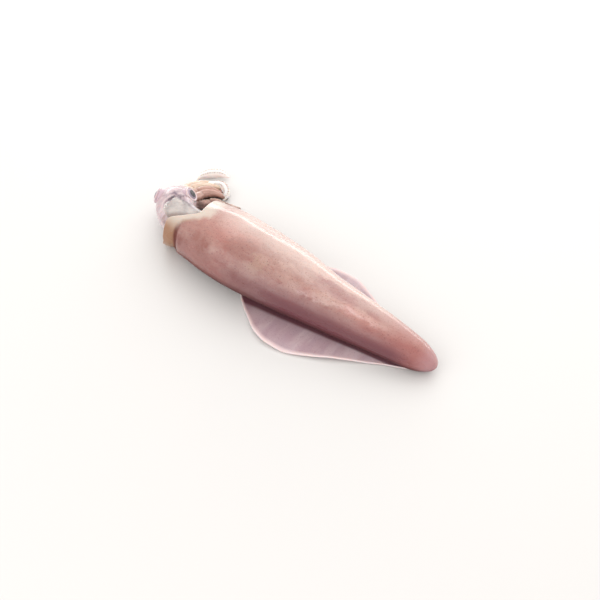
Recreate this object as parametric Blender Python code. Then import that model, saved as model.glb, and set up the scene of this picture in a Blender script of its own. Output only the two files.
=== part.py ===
"""A whole raw squid, lying on its back: a tapering mantle with a fin on each side of its tail, and the head,
funnel, arms and tentacles that come out of the mantle's mouth and fold round to one side.

Units are metres. +X runs along the mantle to its tail point, +Y to the side that the arms fold to, +Z up.
The origin is on the flat of the mantle's underside, where it rests, under the middle of the body."""

import math

import bmesh
import bpy
from mathutils import Vector

# The mantle is a soft cone with a flattened underside, from a slanted mouth to a blunt point.
TAIL_X = 0.131
MANTLE_HALF_WIDTHS = (  # (place along X, half the width there)
    (-0.160, 0.0285),
    (-0.120, 0.0300),
    (-0.068, 0.0341),
    (-0.012, 0.0312),
    (0.030, 0.0248),
    (0.060, 0.0211),
    (0.090, 0.0170),
    (0.112, 0.0134),
    (TAIL_X, 0.0106),
)
TAIL_ROUND = 0.022  # length of the rounded end
MANTLE_BEND = (  # (place along X, how far the body's middle lies to the side)
    (-0.160, -0.0015),
    (-0.110, -0.0024),
    (-0.055, -0.0050),
    (0.000, -0.0042),
    (0.040, -0.0034),
    (0.085, -0.0013),
    (TAIL_X, 0.0010),
)
HEIGHT_SHARE = 0.78  # half the height over half the width at the thick end
TAIL_HEIGHT_SHARE = 0.95  # the tail is rounder
RESTING_SHARE = 0.94  # height of the middle over half the height, so the underside is flat
MANTLE_SIDES = 40
MANTLE_RINGS = 36
RINGS_GATHERED = 0.6  # toward the mouth and the tail, where 0 is even
WALL = 0.0036
LIP_REACH_SHARE = 0.35  # of the wall, how far the rounded lip stands past the edge
CAVITY_END_X = -0.082
CAVITY_RINGS = 7

# The mouth's edge comes forward underneath and on the near side, and is cut back on top for the funnel.
MOUTH_EDGE = (  # (degrees round the body from the far side over the top, place along X)
    (0, -0.1170),
    (30, -0.1095),
    (60, -0.1050),
    (90, -0.1010),
    (98, -0.1004),
    (112, -0.1100),
    (135, -0.1250),
    (165, -0.1240),
    (180, -0.1240),
    (210, -0.1300),
    (245, -0.1400),
    (275, -0.1415),
    (300, -0.1390),
    (360, -0.1170),
)
COLLAR_BACK = 0.012  # a crease this far behind the edge, on the near side
COLLAR_LENGTH = 0.004
COLLAR_DEPTH = 0.0026
COLLAR_TURN = math.radians(-15)  # the crease is deepest this much below the middle of the near side

# Long shallow hollows in the mantle's skin, as (middle X, half length, middle angle, half angle, depth).
HOLLOWS = (
    (0.030, 0.034, math.radians(96), math.radians(13), 0.0014),
    (0.086, 0.020, math.radians(112), math.radians(16), 0.0012),
    (-0.045, 0.030, math.radians(58), math.radians(14), 0.0009),
)

# The fins are thin lobes that spread from under the mantle's rear half.
FIN_REACHES = (  # (place along X, how far the edge is from the body's middle)
    (-0.056, 0.0080),
    (-0.039, 0.0250),
    (-0.020, 0.0392),
    (-0.004, 0.0490),
    (0.008, 0.0518),
    (0.021, 0.0510),
    (0.045, 0.0420),
    (0.074, 0.0268),
    (0.096, 0.0150),
    (0.120, 0.0050),
)
FIN_ROOT_THICKNESS = 0.0046
FIN_EDGE_THICKNESS = 0.0012
FIN_RIPPLE = 0.0030
FIN_RIPPLES = 2.5
FIN_RIPPLE_SHIFT = 0.6
FIN_STATIONS = 36
FIN_STRIPS = 8

# The head runs from a neck in the mantle's mouth to the crown of arms.
HEAD_LINE = (
    Vector((-0.0700, -0.0030, 0.0235)),
    Vector((-0.0980, -0.0050, 0.0232)),
    Vector((-0.1180, -0.0052, 0.0215)),
    Vector((-0.1340, -0.0018, 0.0190)),
    Vector((-0.1472, 0.0077, 0.0175)),
    Vector((-0.1542, 0.0166, 0.0155)),
    Vector((-0.1560, 0.0266, 0.0136)),
)
HEAD_HALF_WIDTHS = (  # (share of the head line, half the width there)
    (0.00, 0.0110),
    (0.17, 0.0150),
    (0.50, 0.0169),
    (0.67, 0.0180),
    (0.83, 0.0181),
    (1.00, 0.0143),
)
HEAD_FLATNESS = 0.84
HEAD_TIP = 0.0050
HEAD_SIDES = 24
HEAD_RINGS = 16

EYE_RADIUS = 0.0080
EYE_PLACE = 0.81  # share of the head line
EYE_SHIFTS = (  # to the near side and up from the head line, for the near and the far eye
    (0.0130, 0.0044),
    (-0.0096, 0.0076),
)
EYE_SEGMENTS = 16
EYE_RINGS = 10

FUNNEL_LINE = (
    Vector((-0.0900, -0.0055, 0.0310)),
    Vector((-0.1060, -0.0068, 0.0335)),
    Vector((-0.1220, -0.0076, 0.0360)),
    Vector((-0.1348, -0.0018, 0.0362)),
    Vector((-0.1438, 0.0098, 0.0330)),
)
FUNNEL_HALF_WIDTHS = (
    (0.00, 0.0105),
    (0.30, 0.0122),
    (0.55, 0.0130),
    (0.80, 0.0116),
    (1.00, 0.0096),
)
FUNNEL_FREE_EDGE = (  # (degrees round the funnel from the near side over the top, share of its line there)
    (0, 0.70),
    (40, 0.66),
    (90, 0.78),
    (140, 0.57),
    (180, 0.54),
    (225, 0.80),
    (270, 1.00),
    (315, 0.92),
    (360, 0.70),
)
FUNNEL_FLATNESS = 0.50
FUNNEL_BORE_SHARE = 0.78
FUNNEL_BORE_DEPTH = 0.22  # share of the funnel's line
FUNNEL_BORE_BOTTOM = 0.52
FUNNEL_SIDES = 24
FUNNEL_RINGS = 7
FUNNEL_BORE_RINGS = 3

# The arms leave the crown in a ring, turn in a bend and lie in two layers.
BEND_MIDDLE = Vector((-0.1307, 0.0388, 0.0))
BEND_START = math.radians(190)
ARMS = (  # (radius of its bend, where it leaves the bend, its length past that, layers below it)
    (0.0115, math.radians(106), 0.0175, 0),
    (0.0210, math.radians(122), 0.0070, 0),
    (0.0280, math.radians(128), 0.0080, 0),
    (0.0345, math.radians(131), 0.0055, 0),
    (0.0170, math.radians(124), 0.0060, 1),
    (0.0230, math.radians(128), 0.0065, 1),
    (0.0285, math.radians(130), 0.0060, 1),
    (0.0335, math.radians(134), 0.0040, 1),
)
ARMS_ABREAST = 4
ARM_RADIUS = 0.0047
ARM_TIP_SHARE = 0.45
ARM_TAPER_POWER = 2.6
ARM_OVERLAP = 0.82  # of touching, for an arm that lies on another
ARM_WAVE = 0.0016
ARM_WAVES = 7.0
ARM_WAVE_SHIFT = 2.2  # from one arm to the next
ARM_STEPS = 8
ARM_SIDES = 8
ARM_RINGS = 18
CROWN_PLACE = 0.93  # share of the head line
CROWN_RADIUS = 0.0085
CROWN_ROOT_SHARE = 0.6  # the arms' roots, inside the head, are closer together
CROWN_DEPTH = 0.0110

# Two thinner, longer tentacles end in a club, one outside the arms and one across the top of them.
TENTACLE_GUIDES = (
    (
        Vector((-0.1600, 0.0400, 0.0080)),
        Vector((-0.1700, 0.0520, 0.0050)),
        Vector((-0.1755, 0.0640, 0.0044)),
        Vector((-0.1715, 0.0740, 0.0046)),
        Vector((-0.1630, 0.0815, 0.0050)),
        Vector((-0.1545, 0.0850, 0.0036)),
    ),
    (
        Vector((-0.1620, 0.0390, 0.0120)),
        Vector((-0.1605, 0.0510, 0.0105)),
        Vector((-0.1550, 0.0605, 0.0095)),
        Vector((-0.1460, 0.0665, 0.0080)),
        Vector((-0.1375, 0.0635, 0.0055)),
        Vector((-0.1345, 0.0560, 0.0036)),
    ),
)
TENTACLE_HALF_WIDTHS = (
    (0.00, 0.0030),
    (0.50, 0.0026),
    (0.66, 0.0026),
    (0.82, 0.0040),
    (0.93, 0.0034),
    (1.00, 0.0014),
)

SKIN_COLOUR = (0.51, 0.24, 0.20)
SKIN_ROUGHNESS = 0.35

FLOOR_GAP = 0.0004  # nothing but the mantle's flat underside comes nearer to the surface below
FRAME_STEP = 0.01  # share of a line over which its direction is taken


def clear_scene():
    for old in list(bpy.data.objects):
        bpy.data.objects.remove(old)


def smooth_value(stations, place):
    """A smooth curve through (place, value) stations that never swings past them."""
    places = [s[0] for s in stations]
    values = [s[1] for s in stations]
    if place <= places[0]:
        return values[0]
    if place >= places[-1]:
        return values[-1]
    gaps = [b - a for a, b in zip(places, places[1:])]
    slopes = [(b - a) / g for a, b, g in zip(values, values[1:], gaps)]
    tangents = [slopes[0]]
    for before, after in zip(slopes, slopes[1:]):
        turning = before * after <= 0
        tangents.append(0.0 if turning else 2 * before * after / (before + after))
    tangents.append(slopes[-1])
    i = max(k for k in range(len(gaps)) if places[k] <= place)
    t = (place - places[i]) / gaps[i]
    return (
        values[i] * (1 + 2 * t) * (1 - t) ** 2
        + tangents[i] * gaps[i] * t * (1 - t) ** 2
        + values[i + 1] * t * t * (3 - 2 * t)
        - tangents[i + 1] * gaps[i] * t * t * (1 - t)
    )


def smooth_point(points, share):
    """The point a share of the way along a smooth curve through the given points."""
    last = len(points) - 1
    place = min(max(share, 0.0), 1.0) * last
    i = min(int(place), last - 1)
    t = place - i
    a, b = points[i], points[i + 1]
    before = points[i - 1] if i > 0 else a + (a - b)
    after = points[i + 2] if i + 2 <= last else b + (b - a)
    return 0.5 * (
        2 * a
        + (b - before) * t
        + (2 * before - 5 * a + 4 * b - after) * t * t
        + (3 * a - before - 3 * b + after) * t**3
    )


def bump(distance):
    """1 in the middle, falling smoothly to nothing a few half widths away."""
    return math.exp(-distance * distance)


def material(name, colour, roughness):
    made = bpy.data.materials.new(name)
    made.use_nodes = True
    shader = made.node_tree.nodes["Principled BSDF"]
    shader.inputs["Base Color"].default_value = (*colour, 1.0)
    shader.inputs["Roughness"].default_value = roughness
    shader.inputs["Metallic"].default_value = 0.0
    return made


def object_from_rings(name, rings, start=None, end=None):
    """A closed skin over rings of points; start and end close it as a single point, or else as a flat face."""
    shape = bmesh.new()
    loops = [[shape.verts.new(p) for p in ring] for ring in rings]
    for one, two in zip(loops, loops[1:]):
        for k in range(len(one)):
            n = (k + 1) % len(one)
            shape.faces.new((one[k], one[n], two[n], two[k]))
    for loop, tip in ((loops[0], start), (loops[-1], end)):
        if tip is None:
            shape.faces.new(loop)
            continue
        pole = shape.verts.new(tip)
        for k in range(len(loop)):
            shape.faces.new((loop[k], loop[(k + 1) % len(loop)], pole))
    bmesh.ops.recalc_face_normals(shape, faces=shape.faces)
    mesh = bpy.data.meshes.new(name)
    shape.to_mesh(mesh)
    shape.free()
    made = bpy.data.objects.new(name, mesh)
    bpy.context.scene.collection.objects.link(made)
    return made


def ring_frame(line, share):
    """The point on a line, its direction, and the sideways and upward directions there."""
    point = smooth_point(line, share)
    ahead = smooth_point(line, min(share + FRAME_STEP, 1.0))
    behind = smooth_point(line, max(share - FRAME_STEP, 0.0))
    along = (ahead - behind).normalized()
    side = Vector((0, 0, 1)).cross(along).normalized()
    return point, along, side, along.cross(side)


def tube_rings(line, half_width_at, flatness, sides, count, start=0.0, end=1.0):
    """Rings of points round a line, flattened, and never lower than just above the resting surface."""
    rings = []
    for j in range(count + 1):
        share = start + (end - start) * j / count
        point, _, side, up = ring_frame(line, share)
        half = half_width_at(share)
        ring = []
        for k in range(sides):
            angle = 2 * math.pi * k / sides
            p = point + side * (half * math.cos(angle)) + up * (half * flatness * math.sin(angle))
            p.z = max(p.z, FLOOR_GAP)
            ring.append(p)
        rings.append(ring)
    return rings


def mantle_middle(x):
    return smooth_value(MANTLE_BEND, x)


def mantle_half_width(x):
    half = smooth_value(MANTLE_HALF_WIDTHS, x)
    into_end = (x - (TAIL_X - TAIL_ROUND)) / TAIL_ROUND
    return half * math.sqrt(max(0.0, 1 - max(0.0, into_end) ** 2))


def mantle_height_share(x):
    rear = min(max(x / TAIL_X, 0.0), 1.0)
    return HEIGHT_SHARE + (TAIL_HEIGHT_SHARE - HEIGHT_SHARE) * rear


def mouth_x(angle):
    return smooth_value(MOUTH_EDGE, math.degrees(angle) % 360)


def mantle_hollow(x, angle):
    """How deep the skin dips at one place, in the creased collar and the long hollows."""
    near_side = max(0.0, -math.cos(angle + COLLAR_TURN)) ** 2
    depth = COLLAR_DEPTH * near_side * bump((x - mouth_x(angle) - COLLAR_BACK) / COLLAR_LENGTH)
    for middle_x, half_length, middle_angle, half_angle, deep in HOLLOWS:
        depth += deep * bump((x - middle_x) / half_length) * bump((angle - middle_angle) / half_angle)
    return depth


def mantle_point(x, angle, inset=0.0, share=1.0):
    """A place on the mantle's skin, or on a smaller section that is inset from it and shrunk to a share."""
    half = mantle_half_width(x)
    tall = half * mantle_height_share(x)
    middle_z = smooth_value(MANTLE_HALF_WIDTHS, x) * mantle_height_share(x) * RESTING_SHARE
    y = mantle_middle(x) + (half - inset) * share * math.cos(angle)
    z = middle_z + (tall - inset) * share * math.sin(angle)
    return Vector((x, y, max(z, inset)))


def make_mantle():
    """The outer skin from tail to mouth, the rounded lip, and the cavity back to where the neck is joined."""
    angles = [2 * math.pi * k / MANTLE_SIDES for k in range(MANTLE_SIDES)]
    rings = []
    for j in range(MANTLE_RINGS, -1, -1):
        even = 2 * math.pi * j / (MANTLE_RINGS + 1)
        along = (even - RINGS_GATHERED * math.sin(even)) / (2 * math.pi)
        ring = []
        for angle in angles:
            x = mouth_x(angle) + (TAIL_X - mouth_x(angle)) * along
            ring.append(mantle_point(x, angle, mantle_hollow(x, angle)))
        rings.append(ring)
    rings.append([mantle_point(mouth_x(a) - WALL * LIP_REACH_SHARE, a, WALL / 2) for a in angles])
    for j in range(CAVITY_RINGS):
        deep = j / CAVITY_RINGS
        ring = []
        for angle in angles:
            x = mouth_x(angle) + (CAVITY_END_X - mouth_x(angle)) * deep
            ring.append(mantle_point(x, angle, WALL, math.sqrt(1 - deep * deep)))
        rings.append(ring)
    tail = mantle_point(TAIL_X, 0.0)
    cavity_end = Vector((CAVITY_END_X, mantle_middle(CAVITY_END_X), HEAD_LINE[0].z))
    return object_from_rings("squid", rings, tail, cavity_end)


def make_fin(name, side):
    """One fin: stations along X, each a closed loop that runs out along the top and back underneath."""
    front, rear = FIN_REACHES[0][0], FIN_REACHES[-1][0]
    widest = max(reach for _, reach in FIN_REACHES)
    loops = []
    for j in range(FIN_STATIONS + 1):
        x = front + (rear - front) * j / FIN_STATIONS
        reach = smooth_value(FIN_REACHES, x)
        wave = math.sin(math.pi * FIN_RIPPLES * j / FIN_STATIONS + FIN_RIPPLE_SHIFT * side) ** 2
        top, bottom = [], []
        for i in range(FIN_STRIPS + 1):
            out = i / FIN_STRIPS
            thick = FIN_ROOT_THICKNESS + (FIN_EDGE_THICKNESS - FIN_ROOT_THICKNESS) * out
            lift = FLOOR_GAP + FIN_RIPPLE * wave * out * out * reach / widest
            y = mantle_middle(x) + side * reach * out
            top.append(Vector((x, y, lift + thick)))
            bottom.append(Vector((x, y, lift)))
        loops.append(top + bottom[::-1])
    return object_from_rings(name, loops)


def make_head():
    def half_width(share):
        return smooth_value(HEAD_HALF_WIDTHS, share)

    rings = tube_rings(HEAD_LINE, half_width, HEAD_FLATNESS, HEAD_SIDES, HEAD_RINGS)
    tip = HEAD_LINE[-1] + (HEAD_LINE[-1] - HEAD_LINE[-2]).normalized() * HEAD_TIP
    return object_from_rings("head", rings, HEAD_LINE[0], tip)


def make_eye(name, sideways_shift, lift):
    point, _, sideways, up = ring_frame(HEAD_LINE, EYE_PLACE)
    shape = bmesh.new()
    bmesh.ops.create_uvsphere(shape, u_segments=EYE_SEGMENTS, v_segments=EYE_RINGS, radius=EYE_RADIUS)
    middle = point + sideways * sideways_shift + up * lift
    bmesh.ops.translate(shape, verts=shape.verts, vec=middle)
    mesh = bpy.data.meshes.new(name)
    shape.to_mesh(mesh)
    shape.free()
    made = bpy.data.objects.new(name, mesh)
    bpy.context.scene.collection.objects.link(made)
    return made


def funnel_point(angle, share, size):
    """A place on the funnel's skin, or on a smaller section inside it."""
    point, _, side, up = ring_frame(FUNNEL_LINE, share)
    half = smooth_value(FUNNEL_HALF_WIDTHS, share) * size
    return point + side * (half * math.cos(angle)) + up * (half * FUNNEL_FLATNESS * math.sin(angle))


def make_funnel():
    """A flattened cone with a slanted free edge and a short bore behind it."""
    angles = [2 * math.pi * k / FUNNEL_SIDES for k in range(FUNNEL_SIDES)]
    edges = [smooth_value(FUNNEL_FREE_EDGE, math.degrees(angle)) for angle in angles]
    rings = []
    for j in range(FUNNEL_RINGS + 1):
        rings.append([funnel_point(a, edge * j / FUNNEL_RINGS, 1.0) for a, edge in zip(angles, edges)])
    for j in range(FUNNEL_BORE_RINGS + 1):
        deep = FUNNEL_BORE_DEPTH * j / FUNNEL_BORE_RINGS
        rings.append([funnel_point(a, edge - deep, FUNNEL_BORE_SHARE) for a, edge in zip(angles, edges)])
    bottom = smooth_point(FUNNEL_LINE, FUNNEL_BORE_BOTTOM)
    return object_from_rings("funnel", rings, FUNNEL_LINE[0], bottom)


def bend_point(radius, leaves_at, walked):
    """A place, seen from above, this far along a bend of this radius and the straight that follows it."""
    angle = max(BEND_START - walked / radius, leaves_at)
    past = walked - (BEND_START - angle) * radius
    out = Vector((math.cos(angle), math.sin(angle), 0))
    along = Vector((math.sin(angle), -math.cos(angle), 0))
    return BEND_MIDDLE + out * radius + along * past


def tube_through(name, line, half_width):
    rings = tube_rings(line, half_width, 1.0, ARM_SIDES, ARM_RINGS)
    tip = line[-1] + (line[-1] - line[-2]).normalized() * half_width(1.0)
    tip.z = max(tip.z, FLOOR_GAP)
    return object_from_rings(name, rings, line[0], tip)


def make_arm(number):
    """One arm: out of the crown's ring, then round the bend beside its neighbours, or on top of them."""

    def half_width(share):
        return ARM_RADIUS * (1 - (1 - ARM_TIP_SHARE) * share**ARM_TAPER_POWER)

    radius, leaves_at, straight, layers_below = ARMS[number]
    length = (BEND_START - leaves_at) * radius + straight
    stacked = 1 + 2 * ARM_OVERLAP * layers_below
    crown, along, side, up = ring_frame(HEAD_LINE, CROWN_PLACE)
    half_turn = math.pi if layers_below else -math.pi
    turn = half_turn * (1 - (number % ARMS_ABREAST + 0.5) / ARMS_ABREAST)
    ring = (side * math.cos(turn) + up * math.sin(turn)) * CROWN_RADIUS
    line = [crown - along * CROWN_DEPTH + ring * CROWN_ROOT_SHARE, crown + ring]
    for j in range(1, ARM_STEPS + 1):
        share = (j + 1) / (ARM_STEPS + 1)
        place = bend_point(radius, leaves_at, length * j / ARM_STEPS)
        wave = ARM_WAVE * math.sin(ARM_WAVE_SHIFT * number + ARM_WAVES * share) * share
        line.append(place + Vector((wave, wave, half_width(share) * stacked + FLOOR_GAP)))
    return tube_through(f"arm_{number + 1}", line, half_width)


def make_tentacle(number):
    def half_width(share):
        return smooth_value(TENTACLE_HALF_WIDTHS, share)

    crown, along, _, _ = ring_frame(HEAD_LINE, CROWN_PLACE)
    line = [crown - along * CROWN_DEPTH, *TENTACLE_GUIDES[number]]
    return tube_through(f"tentacle_{number + 1}", line, half_width)


def fuse(body, pieces):
    """Joins the pieces to the body as one closed solid, and removes them."""
    group = bpy.data.collections.new("flesh")
    bpy.context.scene.collection.children.link(group)
    for piece in pieces:
        bpy.context.scene.collection.objects.unlink(piece)
        group.objects.link(piece)
    union = body.modifiers.new("one_solid", "BOOLEAN")
    union.operation = "UNION"
    union.operand_type = "COLLECTION"
    union.collection = group
    union.solver = "EXACT"
    bpy.context.view_layer.objects.active = body
    bpy.ops.object.modifier_apply(modifier=union.name)
    for piece in pieces:
        bpy.data.objects.remove(piece)
    bpy.data.collections.remove(group)


def keep_outer_skin(body):
    """Fills hollows that the joining sealed, and drops chips: only the skin with the most faces stays."""
    shape = bmesh.new()
    shape.from_mesh(body.data)
    bmesh.ops.triangulate(shape, faces=shape.faces)
    waiting = set(shape.faces)
    skins = []
    while waiting:
        skin = [waiting.pop()]
        for face in skin:
            paired = [edge for edge in face.edges if len(edge.link_faces) == 2]
            near = {other for edge in paired for other in edge.link_faces} & waiting
            waiting -= near
            skin.extend(near)
        skins.append(skin)
    skins.sort(key=len)
    bmesh.ops.delete(shape, geom=[face for skin in skins[:-1] for face in skin], context="FACES")
    shape.to_mesh(body.data)
    shape.free()


def main():
    clear_scene()
    body = make_mantle()
    pieces = [make_fin("fin_near", -1), make_fin("fin_far", 1), make_head(), make_funnel()]
    pieces += [make_eye("eye_near", *EYE_SHIFTS[0]), make_eye("eye_far", *EYE_SHIFTS[1])]
    pieces += [make_arm(number) for number in range(len(ARMS))]
    pieces += [make_tentacle(number) for number in range(len(TENTACLE_GUIDES))]
    fuse(body, pieces)
    keep_outer_skin(body)
    body.data.materials.clear()
    body.data.materials.append(material("squid_skin", SKIN_COLOUR, SKIN_ROUGHNESS))
    body.data.shade_smooth()


main()
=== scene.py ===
# %% [markdown]
# # A whole raw squid, modelled and finished in Blender
# The squid lies on its back. Its mantle is a soft hollow cone, closed at the tail and open at the mouth.
# The head sticks out of that mouth with the funnel on top of it, and the arms fold round to one side.
# Each part becomes a mesh of its own here. The first cell loads the measured solid, which fixes the size
# and the place of all of them.

# %% Load the measured squid
import math
from contextlib import contextmanager

import bpy
from mathutils import Matrix, Vector, noise


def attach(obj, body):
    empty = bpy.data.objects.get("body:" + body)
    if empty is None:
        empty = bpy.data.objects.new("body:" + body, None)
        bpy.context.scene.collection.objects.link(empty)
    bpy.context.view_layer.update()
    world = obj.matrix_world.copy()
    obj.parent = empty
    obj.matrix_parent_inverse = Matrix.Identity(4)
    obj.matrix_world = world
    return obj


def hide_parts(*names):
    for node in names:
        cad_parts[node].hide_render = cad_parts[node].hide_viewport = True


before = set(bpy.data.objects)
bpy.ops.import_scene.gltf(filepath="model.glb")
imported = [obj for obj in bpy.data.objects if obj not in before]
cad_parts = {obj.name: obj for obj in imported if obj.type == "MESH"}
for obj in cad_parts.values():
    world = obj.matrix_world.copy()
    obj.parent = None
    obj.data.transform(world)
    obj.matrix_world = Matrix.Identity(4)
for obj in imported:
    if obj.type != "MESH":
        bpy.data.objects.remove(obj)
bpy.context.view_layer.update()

# %% [markdown]
# ## The camera
# A camera is placed by the direction that it looks from and by its distance. Working from two angles
# keeps the view easy to change: the first turns round the squid, the second lifts the camera above the
# table. A 50 mm lens on a 36 mm sensor shows the squid much as someone standing at the table sees it.
# Everything is added with nothing else selected, so one helper does that for cameras, lights and meshes
# alike.

# %% Camera
CAMERA_TURN, CAMERA_LIFT, CAMERA_DISTANCE = 38, 46, 0.694


def add_alone(name, operator, **settings):
    """Deselects everything, adds one new object by this operator, and names it."""
    bpy.ops.object.select_all(action="DESELECT")
    operator(**settings)
    added = bpy.context.object
    added.name = added.data.name = name
    return added


def aim(thing, turn, lift, distance):
    """Puts a camera or a light at this turn and height, in degrees, looking at the middle of the squid."""
    turn, lift = math.radians(turn), math.radians(lift)
    away = Vector((math.sin(turn) * math.cos(lift), -math.cos(turn) * math.cos(lift), math.sin(lift)))
    thing.location = away * distance
    thing.rotation_euler = away.to_track_quat("Z", "Y").to_euler()


camera = add_alone("camera", bpy.ops.object.camera_add)
aim(camera, CAMERA_TURN, CAMERA_LIFT, CAMERA_DISTANCE)
camera.data.lens = 50
camera.data.sensor_width = 36
camera.data.clip_start = 0.01
bpy.context.scene.camera = camera
print("camera at", [round(c, 3) for c in camera.location])

# %% [markdown]
# ## The light
# Wet skin is mostly seen by what it reflects. A long soft light low behind the squid draws the narrow
# pale gleam along its far edge, one above lights the top of the body, and one in front and a pale room
# fill the shadows, so that they stay weak. Area lights are used because their size sets how soft the
# gleam and the shadows are.

# %% Studio
SOFTBOXES = (  # (name, turn and lift in degrees, distance, width, height, watts, colour)
    ("softbox_behind", 206, 10, 1.00, 1.80, 0.16, 4.0, (1.0, 0.99, 0.97)),
    ("softbox_above", 200, 50, 1.10, 1.20, 0.80, 2.3, (1.0, 0.99, 0.98)),
    ("softbox_fill", 345, 35, 1.30, 1.20, 0.90, 3.6, (1.0, 0.99, 0.98)),
)
ROOM_COLOUR, ROOM_STRENGTH = (1.0, 0.975, 0.95, 1.0), 1.16
for name, turn, lift, distance, width, height, watts, colour in SOFTBOXES:
    lamp = add_alone(name, bpy.ops.object.light_add, type="AREA")
    lamp.data.shape = "RECTANGLE"
    lamp.data.size = width
    lamp.data.size_y = height
    lamp.data.energy = watts
    lamp.data.color = colour
    aim(lamp, turn, lift, distance)

world = bpy.data.worlds.new("pale_room")
world.use_nodes = True
background = world.node_tree.nodes["Background"].inputs
background["Color"].default_value = ROOM_COLOUR
background["Strength"].default_value = ROOM_STRENGTH
bpy.context.scene.world = world
bpy.context.scene.view_settings.view_transform = "Standard"
print(len(SOFTBOXES), "softboxes")

# %% [markdown]
# ## Helpers for working in edit mode
# Most of Blender's tools act on whatever is selected and active. A few small helpers make that safe: one
# selects a single object and nothing else, one opens edit mode on it and closes it again, and one
# selects points by a rule. The next ones are the usual moves in edit mode: scale some points, extrude a
# ring, inset faces. The last three apply a modifier, subdivide, and leave a clean smooth surface.


# %% Select and edit
SAME_PLACE = 1e-6  # points within this many metres count as one


def only(piece):
    """Makes this the one selected object, and the active one."""
    bpy.ops.object.select_all(action="DESELECT")
    piece.select_set(True)
    bpy.context.view_layer.objects.active = piece


@contextmanager
def editing(piece):
    """Edit mode on one piece, in vertex mode, for as long as the with block lasts."""
    only(piece)
    bpy.ops.object.mode_set(mode="EDIT")
    bpy.ops.mesh.select_mode(type="VERT")
    yield
    bpy.ops.object.mode_set(mode="OBJECT")


def select_points(piece, rule):
    """Selects the vertices for which the rule is true, and no others, ready for edit mode."""
    with editing(piece):
        bpy.ops.mesh.select_all(action="DESELECT")
    for vertex in piece.data.vertices:
        vertex.select = rule(vertex.co)
    return sum(vertex.select for vertex in piece.data.vertices)


def resize_points(piece, rule, scale):
    """Scales the vertices for which the rule is true, about the middle of everything."""
    count = select_points(piece, rule)
    with editing(piece):
        bpy.ops.transform.resize(value=scale, center_override=(0, 0, 0))
    return count


def extrude_ring(step, scale, middle):
    """Extrudes what is selected by one step and scales it about this middle."""
    bpy.ops.mesh.extrude_region_move(TRANSFORM_OT_translate={"value": step})
    bpy.ops.transform.resize(value=scale, center_override=middle)


def inset_faces(thickness, lift, **settings):
    """Insets the selected faces and moves what is inside up, or down if the lift is negative."""
    bpy.ops.mesh.select_mode(type="FACE")
    bpy.ops.mesh.inset(thickness=thickness, **settings)
    bpy.ops.transform.translate(value=(0, 0, lift))


def apply_modifier(piece, kind, **settings):
    """Adds a modifier with these settings and applies it at once."""
    only(piece)
    modifier = piece.modifiers.new(kind.lower(), kind)
    for key, value in settings.items():
        setattr(modifier, key, value)
    bpy.ops.object.modifier_apply(modifier=modifier.name)


def subdivide(piece, levels=1):
    apply_modifier(piece, "SUBSURF", levels=levels, render_levels=levels)


def tidy_surface(piece):
    """Merges doubled points, turns the faces outwards and shades the piece smooth."""
    with editing(piece):
        bpy.ops.mesh.select_all(action="SELECT")
        bpy.ops.mesh.remove_doubles(threshold=SAME_PLACE)
        bpy.ops.mesh.normals_make_consistent(inside=False)
    piece.data.shade_smooth()


# %% [markdown]
# ## Smooth lines from a few measures
# A body part is described by a handful of measures, such as half the width at a few places. Between them
# the shape has to flow. One helper runs a curve through such measures without swinging past any of them,
# and another makes a function of that curve. A third does the same for points in space, and a fourth
# gives the directions along and across such a line.


# %% Curves through measures
def smooth_value(stations, place):
    """A smooth curve through (place, value) pairs that never swings past them."""
    places, values = zip(*stations)
    if place <= places[0]:
        return values[0]
    if place >= places[-1]:
        return values[-1]
    gaps = [b - a for a, b in zip(places, places[1:])]
    slopes = [(b - a) / g for a, b, g in zip(values, values[1:], gaps)]
    tangents = [slopes[0]]
    for before, after in zip(slopes, slopes[1:]):
        turning = before * after <= 0
        tangents.append(0.0 if turning else 2 * before * after / (before + after))
    tangents.append(slopes[-1])
    i = max(k for k in range(len(gaps)) if places[k] <= place)
    t = (place - places[i]) / gaps[i]
    return (
        values[i] * (1 + 2 * t) * (1 - t) ** 2
        + tangents[i] * gaps[i] * t * (1 - t) ** 2
        + values[i + 1] * t * t * (3 - 2 * t)
        - tangents[i + 1] * gaps[i] * t * t * (1 - t)
    )


def through(*stations):
    """A function that follows the smooth curve through these (place, value) pairs."""
    return lambda place: smooth_value(stations, place)


def smooth_point(points, share):
    """The point a share of the way along a smooth curve through the given points."""
    last = len(points) - 1
    place = clamp(share) * last
    i = min(int(place), last - 1)
    t = place - i
    a, b = points[i], points[i + 1]
    before = points[i - 1] if i > 0 else a + (a - b)
    after = points[i + 2] if i + 2 <= last else b + (b - a)
    bends = (2 * before - 5 * a + 4 * b - after) * t * t + (3 * a - before - 3 * b + after) * t**3
    return 0.5 * (2 * a + (b - before) * t + bends)


def ring_frame(line, share, step=0.01):
    """The point on a line, its direction, and the sideways and upward directions there."""
    ahead = smooth_point(line, min(share + step, 1.0))
    behind = smooth_point(line, max(share - step, 0.0))
    along = (ahead - behind).normalized()
    side = Vector((0, 0, 1)).cross(along).normalized()
    return smooth_point(line, share), along, side, along.cross(side)


def clamp(value):
    return min(max(value, 0.0), 1.0)


def bump(distance):
    """1 in the middle, falling smoothly to nothing a few half widths away."""
    return math.exp(-distance * distance)


# %% [markdown]
# ## A tube by extruding a circle
# The mantle, the head, the funnel and the arms are all tubes that swell and taper. By hand such a tube
# is a circle that is extruded a step, scaled, extruded again, and so on. The helper does just that. Each
# ring is given by its middle, half its width and half its height, so the tube can wander and flatten on
# its way.


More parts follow.
